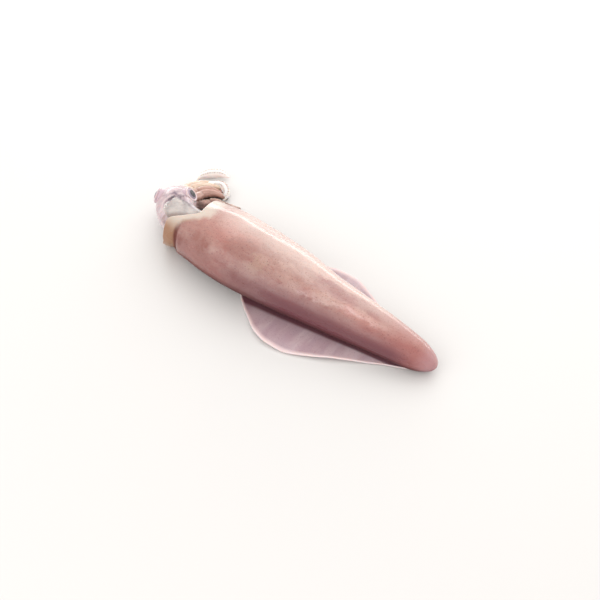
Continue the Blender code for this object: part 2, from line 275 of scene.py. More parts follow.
# %% Extruded tube
def extruded_tube(name, sides, rings):
    """A circle extruded along X through rings of (middle, half width, half height)."""
    upright = {"radius": 1, "rotation": (0, math.pi / 2, 0)}
    tube = add_alone(name, bpy.ops.mesh.primitive_circle_add, vertices=sides, **upright)
    bpy.ops.object.transform_apply(location=False, rotation=True, scale=False)
    middle, wide, tall = rings[0]
    with editing(tube):
        bpy.ops.mesh.select_all(action="SELECT")
        bpy.ops.transform.resize(value=(1, wide, tall), center_override=(0, 0, 0))
        bpy.ops.transform.translate(value=middle)
        for next_middle, next_wide, next_tall in rings[1:]:
            extrude_ring(next_middle - middle, (1, next_wide / wide, next_tall / tall), next_middle)
            middle, wide, tall = next_middle, next_wide, next_tall
    return tube


# %% [markdown]
# ## The mantle
# The mantle is the squid's body: a thick muscular sheet, rolled into a cone. It is widest about a
# quarter of the way back, sags flat underneath where it lies, and narrows to a blunt tail. It starts as
# a plain straight-cut tube, because a tube with square ends is the easiest to extrude evenly. Rings are
# gathered towards both ends, where it curves most.

# %% Mantle measures
TAIL_X, TAIL_ROUND = 0.131, 0.022
MOUTH_FRONT_X = -0.1415
HEIGHT_SHARE, TAIL_HEIGHT_SHARE, RESTING_SHARE = 0.78, 0.95, 0.94
SMALLEST = 0.0002
mantle_half_width = through(  # (place along X, half the width there)
    (-0.160, 0.0285), (-0.120, 0.0300), (-0.068, 0.0341), (-0.012, 0.0312), (0.030, 0.0248),
    (0.060, 0.0211), (0.090, 0.0170), (0.112, 0.0134), (TAIL_X, 0.0106),
)
mantle_side = through(  # (place along X, how far the body's middle lies to the side)
    (-0.160, -0.0015), (-0.110, -0.0024), (-0.055, -0.0050), (0.000, -0.0042), (0.040, -0.0034),
    (0.085, -0.0013), (TAIL_X, 0.0010),
)


def mantle_section(x):
    """The middle of the mantle at this X, and half its width and height there."""
    half = mantle_half_width(x)
    share = HEIGHT_SHARE + (TAIL_HEIGHT_SHARE - HEIGHT_SHARE) * clamp(x / TAIL_X)
    into_end = clamp((x - (TAIL_X - TAIL_ROUND)) / TAIL_ROUND)
    wide = max(half * math.sqrt(1 - into_end**2), SMALLEST)
    return Vector((x, mantle_side(x), half * share * RESTING_SHARE)), wide, wide * share


# %% Extrude the mantle
MANTLE_SIDES, MANTLE_RINGS, RINGS_GATHERED = 96, 84, 0.6
NEARLY_ALL = 0.9999


def gathered(j, count):
    """Shares from 0 to 1 that lie closer together towards both ends."""
    even = 2 * math.pi * j / count
    return (even - RINGS_GATHERED * math.sin(even)) / (2 * math.pi)


shares = [gathered(j, MANTLE_RINGS) for j in range(MANTLE_RINGS + 1)]
rings = [mantle_section(MOUTH_FRONT_X + (TAIL_X - MOUTH_FRONT_X) * share) for share in shares]
mantle = extruded_tube("mantle", MANTLE_SIDES, rings)
select_points(mantle, lambda co: co.x > TAIL_X - SAME_PLACE)
with editing(mantle):
    bpy.ops.mesh.merge(type="CENTER")
print("mantle tube:", len(mantle.data.vertices), "vertices")

# %% [markdown]
# ## The slanted mouth
# The mouth isn't cut square. It comes forward underneath and on the near side, and it is notched on top
# to leave room for the funnel. No operator slides each column of vertices its own way, so this one move
# is made in code: every column is drawn back from the square end in proportion, and takes the width of
# the body at its new place. Then all that hangs below the table is flattened onto it, as the weight of
# the body does.

# %% Slide the columns to the mouth's edge
mouth_edge = through(  # (degrees round the body from the far side over the top, place along X)
    (0, -0.1170), (30, -0.1095), (60, -0.1050), (90, -0.1010), (98, -0.1004), (112, -0.1100),
    (135, -0.1250), (165, -0.1240), (180, -0.1240), (210, -0.1300), (245, -0.1400),
    (275, MOUTH_FRONT_X), (300, -0.1390), (360, -0.1170),
)
front_ring = [v.index for v in mantle.data.vertices if v.co.x < MOUTH_FRONT_X + SAME_PLACE]
mantle.vertex_groups.new(name="mouth").add(front_ring, 1.0, "REPLACE")


def mouth_x(angle):
    return mouth_edge(math.degrees(angle) % 360)


def round_angle(co):
    """The angle of a point round the mantle, from the far side over the top."""
    middle, wide, tall = mantle_section(co.x)
    return math.atan2((co.z - middle.z) / tall, (co.y - middle.y) / wide)


for vertex in mantle.data.vertices:
    angle = round_angle(vertex.co)
    share = (vertex.co.x - MOUTH_FRONT_X) / (TAIL_X - MOUTH_FRONT_X)
    middle, wide, tall = mantle_section(mouth_x(angle) + (TAIL_X - mouth_x(angle)) * share)
    at_tail = share > NEARLY_ALL
    reach = Vector((0, 0, 0)) if at_tail else Vector((0, wide * math.cos(angle), tall * math.sin(angle)))
    vertex.co = middle + reach
pressed = resize_points(mantle, lambda co: co.z < 0, (1, 1, 0))
print(pressed, "vertices pressed flat against the table")

# %% [markdown]
# ## The rim and the hollow behind it
# A real mantle wall is three or four millimetres thick, and its cut edge is soft and round. The ring of
# vertices at the mouth was kept as a vertex group, so it can be selected again. It is extruded a few
# short steps, forward, inward and back, which rounds the rim, and then in longer steps down the inside,
# where the neck and the funnel come out.

# %% Extrude the rim inwards
RIM_AND_HOLLOW = (  # (how far back, how much wider than the ring before)
    (-0.0008, 0.975), (-0.0005, 0.955), (0.0005, 0.950), (0.0012, 0.970),
    (0.006, 1.004), (0.008, 1.004), (0.010, 1.004), (0.012, 1.004),
)
HOLLOW_END, RIM_MIDDLE_X = 0.006, -0.122
with editing(mantle):
    bpy.ops.mesh.select_all(action="DESELECT")
    bpy.ops.object.vertex_group_set_active(group="mouth")
    bpy.ops.object.vertex_group_select()
    middle = mantle_section(RIM_MIDDLE_X)[0]
    for back, wider in RIM_AND_HOLLOW:
        extrude_ring((back, 0, 0), (1, wider, wider), middle)
    bpy.ops.mesh.extrude_region_move(TRANSFORM_OT_translate={"value": (HOLLOW_END, 0, 0)})
    bpy.ops.mesh.merge(type="CENTER")
inner_points = {v.index for v in mantle.data.vertices[MANTLE_SIDES * MANTLE_RINGS + 1 :]}
print("mantle with its rim:", len(mantle.data.vertices), "vertices")

# %% [markdown]
# ## Remembering where a point lies
# The skin near the mouth is paler and yellower than the rest, and that border follows the slanted edge.
# Low on the sides the skin is darker. A material can't know the edge or the side, but it can read
# numbers that the mesh carries. Three attributes store them for each vertex: how far behind the mouth it
# lies, or less than nothing inside, how far on the near side, and how high. They have to be written
# before the mesh is subdivided, because the modifier then fills in the values of the new vertices by
# itself.

# %% Store where each point of the mantle lies
INSIDE = -0.01


def store(piece, name, rule):
    """Stores one number for each vertex, worked out from the vertex."""
    values = piece.data.attributes.new(name, "FLOAT", "POINT")
    for vertex in piece.data.vertices:
        values.data[vertex.index].value = rule(vertex)


def behind_mouth(co):
    """How far a place lies behind the mouth's edge, along X."""
    return co.x - mouth_x(round_angle(co))


store(mantle, "behind_mouth", lambda v: INSIDE if v.index in inner_points else behind_mouth(v.co))
store(mantle, "near_side", lambda v: -math.cos(round_angle(v.co)))
store(mantle, "top_side", lambda v: math.sin(round_angle(v.co)))
subdivide(mantle)
tidy_surface(mantle)
print("mantle subdivided:", len(mantle.data.polygons), "faces")

# %% [markdown]
# ## Softening the mantle
# A raw mantle isn't a turned cone. It has long shallow hollows where the muscle has gone slack, a crease
# behind the rim on the near side, and small uneven swellings all over. These are too soft for any edge
# tool, so the points are pushed along their normals, as a sculpting brush would do it: by the large
# hollows, and by gentle noise.

# %% Press hollows and a crease into the mantle
COLLAR_BACK, COLLAR_LENGTH, COLLAR_DEPTH = 0.012, 0.004, 0.0026
COLLAR_TURN = math.radians(-15)
HOLLOWS = (  # (middle X, half length, middle angle, half angle, depth)
    (0.030, 0.034, math.radians(96), math.radians(13), 0.0014),
    (0.086, 0.020, math.radians(112), math.radians(16), 0.0012),
    (-0.045, 0.030, math.radians(58), math.radians(14), 0.0009),
)
SWELLING, SWELLING_SIZE = 0.00045, 0.022
WRINKLE, WRINKLE_SIZE = 0.00012, 0.006
STRETCH = Vector((0.4, 1.0, 1.0))
ON_TABLE = 1e-5


def mantle_hollow(co, behind):
    """How deep the skin dips at a point that lies this far behind the mouth's edge."""
    angle = round_angle(co) % (2 * math.pi)
    near_side = max(0.0, -math.cos(angle + COLLAR_TURN)) ** 2
    depth = COLLAR_DEPTH * near_side * bump((behind - COLLAR_BACK) / COLLAR_LENGTH)
    for middle_x, half_length, middle_angle, half_angle, deep in HOLLOWS:
        depth += deep * bump((co.x - middle_x) / half_length) * bump((angle - middle_angle) / half_angle)
    return depth


def uneven(co, size):
    """Soft noise between about -1 and 1, drawn out along X."""
    return noise.noise(Vector(a * b / size for a, b in zip(co, STRETCH)))


behind = mantle.data.attributes["behind_mouth"].data
normals = [vertex.normal.copy() for vertex in mantle.data.vertices]
for vertex, normal in zip(mantle.data.vertices, normals):
    outside = behind[vertex.index].value
    if outside < 0 or vertex.co.z < ON_TABLE:
        continue
    push = SWELLING * uneven(vertex.co, SWELLING_SIZE) + WRINKLE * uneven(vertex.co, WRINKLE_SIZE)
    vertex.co += normal * (push - mantle_hollow(vertex.co, outside))
    vertex.co.z = max(vertex.co.z, 0.0)
print("mantle softened")

# %% [markdown]
# ## The fins
# Two fins spread from under the rear half of the mantle, thin lobes of muscle that are thick at the root
# and almost a film at the edge. A fin is a sheet, so it starts as a flat grid. Each row of the grid is
# drawn out to the fin's edge and lifted into soft waves. A Solidify modifier gives the sheet its
# thickness; a vertex group tells it where to be thin. The two fins are made by the same helper, one for
# each side.

# %% Fin measures
FIN_REACHES = (  # (place along X, how far the edge is from the body's middle)
    (-0.056, 0.0080), (-0.039, 0.0250), (-0.020, 0.0392), (-0.004, 0.0490), (0.008, 0.0518),
    (0.021, 0.0510), (0.045, 0.0420), (0.074, 0.0268), (0.096, 0.0150), (0.120, 0.0050),
)
FIN_FRONT, FIN_REAR = FIN_REACHES[0][0], FIN_REACHES[-1][0]
FIN_WIDEST = max(reach for _, reach in FIN_REACHES)
FIN_ROOT_THICKNESS, FIN_EDGE_THICKNESS = 0.0046, 0.0011
FIN_RIPPLE, FIN_RIPPLES, FIN_RIPPLE_SHIFT = 0.0030, 2.5, 0.6
FIN_EDGE_CURL, FIN_EDGE_CURL_SIZE = 0.0007, 0.009
FIN_ROWS, FIN_STRIPS = 90, 28
FLOOR_GAP = 0.0004
fin_reach = through(*FIN_REACHES)


# %% Make both fins
def make_fin(name, side):
    """One fin, from a grid whose rows run out from under the body; side is -1 or 1."""
    grid = {"x_subdivisions": FIN_ROWS, "y_subdivisions": FIN_STRIPS, "size": 1}
    fin = add_alone(name, bpy.ops.mesh.primitive_grid_add, **grid)
    thick_root = fin.vertex_groups.new(name="thick_root")
    for vertex in fin.data.vertices:
        along, out = vertex.co.x + 0.5, vertex.co.y + 0.5
        x = FIN_FRONT + (FIN_REAR - FIN_FRONT) * along
        reach = fin_reach(x)
        wave = math.sin(math.pi * FIN_RIPPLES * along + FIN_RIPPLE_SHIFT * side) ** 2
        curl = FIN_EDGE_CURL * out**6 * (1 + uneven(Vector((x, reach * side, 0)), FIN_EDGE_CURL_SIZE))
        lift = FLOOR_GAP + FIN_RIPPLE * wave * out * out * reach / FIN_WIDEST + curl
        vertex.co = Vector((x, mantle_side(x) + side * reach * out, lift))
        thick_root.add([vertex.index], 1 - out, "REPLACE")
    if side < 0:
        with editing(fin):
            bpy.ops.mesh.select_all(action="SELECT")
            bpy.ops.mesh.flip_normals()
    thinnest = FIN_EDGE_THICKNESS / FIN_ROOT_THICKNESS
    edge = {"vertex_group": thick_root.name, "thickness_vertex_group": thinnest}
    apply_modifier(fin, "SOLIDIFY", thickness=FIN_ROOT_THICKNESS, offset=1.0, **edge)
    apply_modifier(fin, "BEVEL", width=FIN_EDGE_THICKNESS / 3, segments=2, limit_method="ANGLE")
    tidy_surface(fin)
    return fin


fins = [make_fin("fin_near", -1), make_fin("fin_far", 1)]
print("fins:", [len(fin.data.polygons) for fin in fins], "faces")

# %% [markdown]
# ## Laying a straight piece along a line
# The head and the arms are bent, but a bent tube is hard to shape. It is far easier to model each one
# straight, along X, and to bend it last. A Curve modifier does this: it lays whatever lies along X onto
# a curve. Before bending, the straight place of every point is stored as an attribute, so that stripes
# can follow the bent piece.

# %% Bend with a curve
LINE_STEPS = 60


def line_through(*points):
    return [Vector(point) for point in points]


def line_length(line, share=1.0):
    """The distance along a smooth line up to a share of it."""
    places = [smooth_point(line, share * k / LINE_STEPS) for k in range(LINE_STEPS + 1)]
    return sum((b - a).length for a, b in zip(places, places[1:]))


def remember_straight(piece, length, half_width_at):
    """Stores each point's share along and, in half widths, its places sideways and up, before it is bent."""
    straight = piece.data.attributes.new("straight", "FLOAT_VECTOR", "POINT")
    for vertex in piece.data.vertices:
        share = clamp(vertex.co.x / length)
        half = half_width_at(share)
        straight.data[vertex.index].vector = (share, vertex.co.y / half, vertex.co.z / half)


def lay_along(piece, line, roll=0.0, twist=0.0):
    """Bends a straight piece along a line, rolled about it, with a twist that grows to its end."""
    curve = bpy.data.curves.new("guide", "CURVE")
    curve.dimensions = "3D"
    curve.twist_mode = "Z_UP"
    spline = curve.splines.new("POLY")
    spline.points.add(LINE_STEPS)
    for k, point in enumerate(spline.points):
        share = k / LINE_STEPS
        point.co = (*smooth_point(line, share), 1.0)
        point.tilt = roll + twist * share
    guide = bpy.data.objects.new("guide", curve)
    bpy.context.scene.collection.objects.link(guide)
    apply_modifier(piece, "CURVE", object=guide, deform_axis="POS_X")
    bpy.data.objects.remove(guide)
    bpy.data.curves.remove(curve)


def lift_off_table(piece):
    """Presses up what the bend took below the table."""
    for vertex in piece.data.vertices:
        vertex.co.z = max(vertex.co.z, FLOOR_GAP)


# %% [markdown]
# ## The head
# Between the mantle and the arms sits the head, a muscular bulb with a large eye on each side. It comes
# out of the mouth, turns to the far side and carries the arms in a ring at its end. It is extruded
# straight with the width that it has at each share of its line, closed at both ends and bent along that
# line. The same closed tube, without the flattening, will do for the arms.

# %% Head measures
HEAD_LINE = line_through(
    (-0.0700, -0.0030, 0.0235), (-0.0980, -0.0050, 0.0232), (-0.1180, -0.0052, 0.0215),
    (-0.1340, -0.0018, 0.0190), (-0.1472, 0.0077, 0.0175), (-0.1542, 0.0166, 0.0155),
    (-0.1560, 0.0266, 0.0136),
)
HEAD_FLATNESS, HEAD_TIP = 0.84, 0.0050
HEAD_SIDES, HEAD_RINGS = 48, 44
head_half_width = through(  # (share of the head line, half the width there)
    (0.00, 0.0110), (0.17, 0.0150), (0.50, 0.0169), (0.67, 0.0180), (0.83, 0.0181), (1.00, 0.0143),
)


# %% Make the head
TIP_STEPS = (  # (forward in half widths of the tip, how much narrower)
    (0.45, 0.86), (0.35, 0.72), (0.15, 0.45), (0.05, 0.45),
)


def closed_tube(name, sides, rings, x_at, half_width_at, tip, flatness=1.0):
    """A straight tube with its rings at x_at(share), closed at both ends, the far one with a rounded tip."""
    shares = [k / rings for k in range(rings + 1)]
    halves = [half_width_at(share) for share in shares]
    places = [Vector((x_at(share), 0, 0)) for share in shares]
    tube = extruded_tube(name, sides, [(p, half, half * flatness) for p, half in zip(places, halves)])
    length = places[-1].x
    select_points(tube, lambda co: co.x < SAME_PLACE)
    with editing(tube):
        bpy.ops.mesh.edge_face_add()
    select_points(tube, lambda co: co.x > length - SAME_PLACE)
    with editing(tube):
        for forward, narrower in TIP_STEPS:
            extrude_ring((tip * forward, 0, 0), (1, narrower, narrower), (length, 0, 0))
        bpy.ops.mesh.merge(type="CENTER")
    return tube


def head_x(share):
    return line_length(HEAD_LINE, share)


head = closed_tube("head", HEAD_SIDES, HEAD_RINGS, head_x, head_half_width, HEAD_TIP, HEAD_FLATNESS)
lay_along(head, HEAD_LINE)
subdivide(head)
lift_off_table(head)
tidy_surface(head)
print("head:", len(head.data.polygons), "faces along", round(line_length(HEAD_LINE) * 1000), "mm")

# %% [markdown]
# ## The eyes
# A squid's eye is a ball sunk in the side of the head. What shows is a silvery ring and a round black
# pupil under a clear wet skin, in a soft fold. The ball starts as a sphere whose pole looks outwards.
# The faces round the pole are inset and pressed in to make the pupil's edge, and a torus makes the fold.
# The whole eye is then turned to face out of the head and moved to its place.

# %% Make both eyes
EYE_RADIUS, EYE_PLACE = 0.0080, 0.81
EYE_SHIFTS = {  # to the near side and up from the head line
    "near": (0.0130, 0.0044), "far": (-0.0096, 0.0076),
}
PUPIL_SHARE, PUPIL_SUNK = 0.36, EYE_RADIUS * 0.03
LID_RADIUS, LID_THICKNESS, LID_OUT = 0.0061, 0.0011, 0.0052


def eye_place(shift):
    """The middle of an eye, and the direction that it looks in, straight out of the head."""
    point, _, sideways, up = ring_frame(HEAD_LINE, EYE_PLACE)
    out = sideways * shift[0] + up * shift[1]
    return point + out, out.normalized()


def make_eye(side, shift):
    """An eyeball with a sunken pupil, and the fold of skin round it."""
    sphere = {"segments": 40, "ring_count": 28, "radius": EYE_RADIUS}
    ball = add_alone(f"eye_{side}", bpy.ops.mesh.primitive_uv_sphere_add, **sphere)
    select_points(ball, lambda co: co.z > 0 and co.xy.length < EYE_RADIUS * PUPIL_SHARE)
    with editing(ball):
        inset_faces(PUPIL_SUNK, -PUPIL_SUNK)
    ring = {"major_radius": LID_RADIUS, "minor_radius": LID_THICKNESS, "location": (0, 0, LID_OUT)}
    torus = bpy.ops.mesh.primitive_torus_add
    lid = add_alone(f"eyelid_{side}", torus, major_segments=48, minor_segments=14, **ring)
    bpy.ops.object.transform_apply(location=True, rotation=False, scale=False)
    middle, out = eye_place(shift)
    turned = out.to_track_quat("Z", "X").to_matrix().to_4x4()
    for piece in (ball, lid):
        piece.data.transform(Matrix.Translation(middle) @ turned)
        piece.data.shade_smooth()
    return ball, lid


eyes, lids = zip(*[make_eye(side, shift) for side, shift in EYE_SHIFTS.items()])
print("eyes look towards", [[round(c, 2) for c in eye_place(shift)[1]] for shift in EYE_SHIFTS.values()])

# %% [markdown]
# ## The funnel
# The funnel is the nozzle that a squid swims with, a short flattened cone that comes out of the mantle
# above the neck, open at its free end. It is a sheet rolled into a cone, so it is extruded as an open
# tube. Its free edge is cut on the slant, with a point on top and a longer lower lip, so each column of
# vertices is drawn back to its own length, as at the mantle's mouth. Once it is bent, Solidify gives it
# a wall, which also makes the thick soft lips.

# %% Make the funnel
FUNNEL_LINE = line_through(
    (-0.0900, -0.0055, 0.0310), (-0.1060, -0.0068, 0.0335), (-0.1220, -0.0076, 0.0360),
    (-0.1348, -0.0018, 0.0362), (-0.1438, 0.0098, 0.0330),
)
funnel_half_width = through((0.00, 0.0105), (0.30, 0.0122), (0.55, 0.0130), (0.80, 0.0116), (1.00, 0.0096))
free_edge = through(  # (degrees round the funnel from the near side over the top, share of its line there)
    (0, 0.70), (40, 0.66), (90, 0.78), (140, 0.57), (180, 0.54), (225, 0.80), (270, 1.00), (315, 0.92),
    (360, 0.70),
)
FUNNEL_FLATNESS, FUNNEL_WALL = 0.50, 0.0016
FUNNEL_SIDES, FUNNEL_RINGS = 48, 24

rings = [(Vector((k / FUNNEL_RINGS, 0, 0)), 1, 1) for k in range(FUNNEL_RINGS + 1)]
funnel = extruded_tube("funnel", FUNNEL_SIDES, rings)
for vertex in funnel.data.vertices:
    angle = math.atan2(vertex.co.z, vertex.co.y)
    share = vertex.co.x * free_edge(math.degrees(angle) % 360)
    half = funnel_half_width(share)
    section = (half * math.cos(angle), half * FUNNEL_FLATNESS * math.sin(angle))
    vertex.co = (line_length(FUNNEL_LINE, share), *section)
lay_along(funnel, FUNNEL_LINE)
lip_points = [vertex.co.copy() for vertex in funnel.data.vertices[-FUNNEL_SIDES:]]
tidy_surface(funnel)
apply_modifier(funnel, "SOLIDIFY", thickness=FUNNEL_WALL, offset=-1.0)
subdivide(funnel)
tidy_surface(funnel)
print("funnel:", len(funnel.data.polygons), "faces")

# %% [markdown]
# ## One arm, to be copied eight times
# All eight arms are built alike: round on the outside with a low keel, flat on the inner side between
# two thin membranes, with two rows of suckers there. So one arm is modelled straight, and copied. The
# faces of the flat side are inset and pushed down to raise the membranes, and the points along the back
# are pulled out into the keel. A sucker is a short cylinder, narrower below, whose top is inset three
# times and pushed up and down into a cup.

# %% One sucker
SUCKER_STALK, SUCKER_SIDES, SUCKER_HEIGHT = 0.45, 10, 0.7
SUCKER_CUP = ((0.26, 0.12), (0.16, -0.38), (0.30, -0.10))  # (inset, lift) from the outer rim inwards


def make_sucker():
    """A shallow cup on a short stalk, one unit in radius, opening upwards."""
    size = {"vertices": SUCKER_SIDES, "radius": 1, "depth": SUCKER_HEIGHT}
    sucker = add_alone("sucker", bpy.ops.mesh.primitive_cylinder_add, end_fill_type="NGON", **size)
    resize_points(sucker, lambda co: co.z < 0, (SUCKER_STALK, SUCKER_STALK, 1))
    select_points(sucker, lambda co: co.z > 0)
    with editing(sucker):
        for inset, lift in SUCKER_CUP:
            inset_faces(inset, lift)
    sucker.data.shade_smooth()
    return sucker


sucker = make_sucker()
print("sucker:", len(sucker.data.polygons), "faces")

# %% [markdown]
# ## Rows of suckers
# A sucker is copied once for every place on the arm, smaller towards the tip, and the copies are joined
# to the arm as one mesh. A face material slot keeps them apart, so that the suckers can have a finish of
# their own.

# %% Place suckers on a straight arm
SUCKER_SLOT = 1


def add_suckers(arm, places):
    """Joins a copy of the sucker to the arm for every (middle, radius), and marks its faces."""
    skin_faces = len(arm.data.polygons)
    copies = []
    for middle, radius in places:
        copy = bpy.data.objects.new("sucker_copy", sucker.data.copy())
        bpy.context.scene.collection.objects.link(copy)
        copy.data.transform(Matrix.Translation(middle) @ Matrix.Scale(radius, 4))
        copies.append(copy)
    only(arm)
    for copy in copies:
        copy.select_set(True)
    bpy.ops.object.join()
    for face in arm.data.polygons[skin_faces:]:
        face.material_index = SUCKER_SLOT


def sucker_places(length, half_width_at, rows, first, last, pairs, size, spread, height):
    """Rows of suckers between two shares of the length; size, spread and height are in half widths."""
    places = []
    for k in range(pairs):
        for row in range(rows):
            share = first + (last - first) * (k + row / rows) / pairs
            half = half_width_at(share)
            across = (row / (rows - 1) - 0.5) * 2 * spread * half
            places.append((Vector((share * length, across, half * height)), size * half))
    return places


# %% Model one straight arm
ARM_RADIUS, ARM_TIP_SHARE, ARM_TAPER_POWER = 0.0047, 0.45, 2.6
ARM_SIDES, ARM_RINGS, MODEL_LENGTH = 16, 40, 0.055
FLAT_FROM, FLATTENED, MEMBRANE, TROUGH = 0.62, 0.70, 0.0005, 0.0006
KEEL_BELOW, KEEL = -0.99, 1.12
ARM_SUCKERS = {
    "rows": 2, "first": 0.20, "last": 0.97, "pairs": 20, "size": 0.30, "spread": 0.36, "height": 0.52,
}


def arm_half_width(share):
    return ARM_RADIUS * (1 - (1 - ARM_TIP_SHARE) * share**ARM_TAPER_POWER)


def straight_limb(name, length, rings, half_width_at):
    """A straight round limb of this length and taper."""
    tip = half_width_at(1.0)
    return closed_tube(name, ARM_SIDES, rings, lambda share: length * share, half_width_at, tip)


def finish_limb(limb, length, half_width_at, suckers):
    """Smooths a straight limb, sets its rows of suckers and stores its straight coordinates."""
    subdivide(limb)
    tidy_surface(limb)
    add_suckers(limb, sucker_places(length, half_width_at, **suckers))
    remember_straight(limb, length, half_width_at)


def share_up(co):
    """How high a point is on a straight arm, in half widths."""
    return co.z / arm_half_width(clamp(co.x / MODEL_LENGTH))


arm_model = straight_limb("arm_model", MODEL_LENGTH, ARM_RINGS, arm_half_width)
select_points(arm_model, lambda co: share_up(co) > FLAT_FROM)
with editing(arm_model):
    bpy.ops.transform.resize(value=(1, 1, FLATTENED), center_override=(0, 0, 0))
    inset_faces(MEMBRANE, -TROUGH, use_boundary=False)
resize_points(arm_model, lambda co: share_up(co) < KEEL_BELOW, (1, 1, KEEL))
finish_limb(arm_model, MODEL_LENGTH, arm_half_width, ARM_SUCKERS)
print("arm:", len(arm_model.data.polygons), "faces")

# %% [markdown]
# ## Eight arms in a folded bundle
# The arms leave the end of the head in a ring, turn back round one middle and lie in two layers. Each
# gets its own line: a point inside the head, one at its end, and then points round the bend. The suckers
# of every arm look towards the middle of the ring, so each copy is rolled to suit before it is bent.

# %% Arm lines
BEND_MIDDLE, BEND_START = Vector((-0.1307, 0.0388, 0.0)), math.radians(190)
ARMS = (  # (radius of its bend, degrees where it leaves the bend, its length past that, layers below it)
    (0.0115, 106, 0.0175, 0),
    (0.0210, 122, 0.0070, 0),
    (0.0280, 128, 0.0080, 0),
    (0.0345, 131, 0.0055, 0),
    (0.0170, 124, 0.0060, 1),
    (0.0230, 128, 0.0065, 1),
    (0.0285, 130, 0.0060, 1),
    (0.0335, 134, 0.0040, 1),
)
ARMS_ABREAST, ARM_OVERLAP, ARM_STEPS = 4, 0.82, 8
ARM_WAVE, ARM_WAVES, ARM_WAVE_SHIFT = 0.0016, 7.0, 2.2
CROWN_PLACE, CROWN_RADIUS, CROWN_ROOT_SHARE, CROWN_DEPTH = 0.93, 0.0085, 0.6, 0.0110
ARM_TWIST = math.radians(35)


def bend_point(radius, leaves_at, walked):
    """A place, seen from above, this far along a bend of this radius and the straight that follows it."""
    angle = max(BEND_START - walked / radius, leaves_at)
    past = walked - (BEND_START - angle) * radius
    out = Vector((math.cos(angle), math.sin(angle), 0))
    along = Vector((math.sin(angle), -math.cos(angle), 0))
    return BEND_MIDDLE + out * radius + along * past


def arm_line(number):
    """The points that an arm follows, and the angle round the ring at which it leaves the head."""
    radius, leaves_at, straight, layers_below = ARMS[number]
    leaves_at = math.radians(leaves_at)
    length = (BEND_START - leaves_at) * radius + straight
    stacked = 1 + 2 * ARM_OVERLAP * layers_below
    crown, along, side, up = ring_frame(HEAD_LINE, CROWN_PLACE)
    half_turn = math.pi if layers_below else -math.pi
    turn = half_turn * (1 - (number % ARMS_ABREAST + 0.5) / ARMS_ABREAST)
    ring = (side * math.cos(turn) + up * math.sin(turn)) * CROWN_RADIUS
    line = [crown - along * CROWN_DEPTH + ring * CROWN_ROOT_SHARE, crown + ring]
    for j in range(1, ARM_STEPS + 1):
        share = (j + 1) / (ARM_STEPS + 1)
        place = bend_point(radius, leaves_at, length * j / ARM_STEPS)
        wave = ARM_WAVE * math.sin(ARM_WAVE_SHIFT * number + ARM_WAVES * share) * share
        line.append(place + Vector((wave, wave, arm_half_width(share) * stacked + FLOOR_GAP)))
    return line, turn


# %% Copy, roll and bend the arms
def make_arm(number):
    """A copy of the straight arm, drawn out to the length of its own line and bent along it."""
    line, turn = arm_line(number)
    arm = bpy.data.objects.new(f"arm_{number + 1}", arm_model.data.copy())
    arm.data.name = arm.name
    bpy.context.scene.collection.objects.link(arm)
    arm.data.transform(Matrix.Scale(line_length(line) / MODEL_LENGTH, 4, Vector((1, 0, 0))))
    inwards = turn + math.pi / 2
    lay_along(arm, line, roll=inwards, twist=ARM_TWIST * math.sin(ARM_WAVE_SHIFT * number))
    lift_off_table(arm)
    return arm


arms = [make_arm(number) for number in range(len(ARMS))]
bpy.data.objects.remove(arm_model)
print(len(arms), "arms")

# %% [markdown]
# ## Two tentacles
# Two more limbs, longer and thinner, end in a wider club. Only the club carries suckers, in four rows.
# One lies well outside the bundle of arms. The other runs along the bundle's outer edge and curls round
# the arms' ends.

# %% Make the tentacles
TENTACLE_GUIDES = (
    line_through(
        (-0.1600, 0.0400, 0.0080), (-0.1700, 0.0520, 0.0050), (-0.1755, 0.0640, 0.0044),
        (-0.1715, 0.0740, 0.0046), (-0.1630, 0.0815, 0.0050), (-0.1545, 0.0850, 0.0036),
    ),
    line_through(
        (-0.1620, 0.0390, 0.0120), (-0.1605, 0.0510, 0.0105), (-0.1550, 0.0605, 0.0095),
        (-0.1460, 0.0665, 0.0080), (-0.1375, 0.0635, 0.0055), (-0.1345, 0.0560, 0.0036),
    ),
)
CLUB_SUCKERS = {
    "rows": 4, "first": 0.70, "last": 0.99, "pairs": 11, "size": 0.24, "spread": 0.60, "height": 0.80,
}
tentacle_half_width = through(  # (share of its line, half the width there)
    (0.00, 0.0030), (0.50, 0.0026), (0.66, 0.0026), (0.82, 0.0040), (0.93, 0.0034), (1.00, 0.0014),
)


def make_tentacle(number):
    crown, along, _, _ = ring_frame(HEAD_LINE, CROWN_PLACE)
    line = [crown - along * CROWN_DEPTH, *TENTACLE_GUIDES[number]]
    length = line_length(line)
    tentacle = straight_limb(f"tentacle_{number + 1}", length, 2 * ARM_RINGS, tentacle_half_width)
    finish_limb(tentacle, length, tentacle_half_width, CLUB_SUCKERS)
    lay_along(tentacle, line)
    lift_off_table(tentacle)
    return tentacle


tentacles = [make_tentacle(number) for number in range(len(TENTACLE_GUIDES))]
bpy.data.objects.remove(sucker)
print("tentacles:", [len(tentacle.data.polygons) for tentacle in tentacles], "faces")

# %% [markdown]
# ## Building materials from nodes
# A material here is a chain of nodes that ends in one Principled shader. The helpers add nodes and give
# back the socket that carries the result, so that nodes can be written like sums. A socket knows the
# node tree that it belongs to, so the tree needn't be named each time. Colours are written as on a
# screen, from 0 to 255, and turned into the linear colours that Blender computes with.


# %% Node helpers
def is_socket(value):
    return isinstance(value, bpy.types.NodeSocket)


def tree_of(*values):
    """The node tree of the first socket or node among these values."""
    return next(value.id_data for value in values if isinstance(value, bpy.types.bpy_struct))


def add_node(tree, kind, inputs=None, **settings):
    """Adds a node; inputs holds values or sockets to link, by the name or number of its own sockets."""
    node = tree.nodes.new("ShaderNode" + kind)
    for key, value in settings.items():
        setattr(node, key, value)
    for key, value in (inputs or {}).items():
        if is_socket(value):
            tree.links.new(value, node.inputs[key])
        else:
            node.inputs[key].default_value = value
    return node


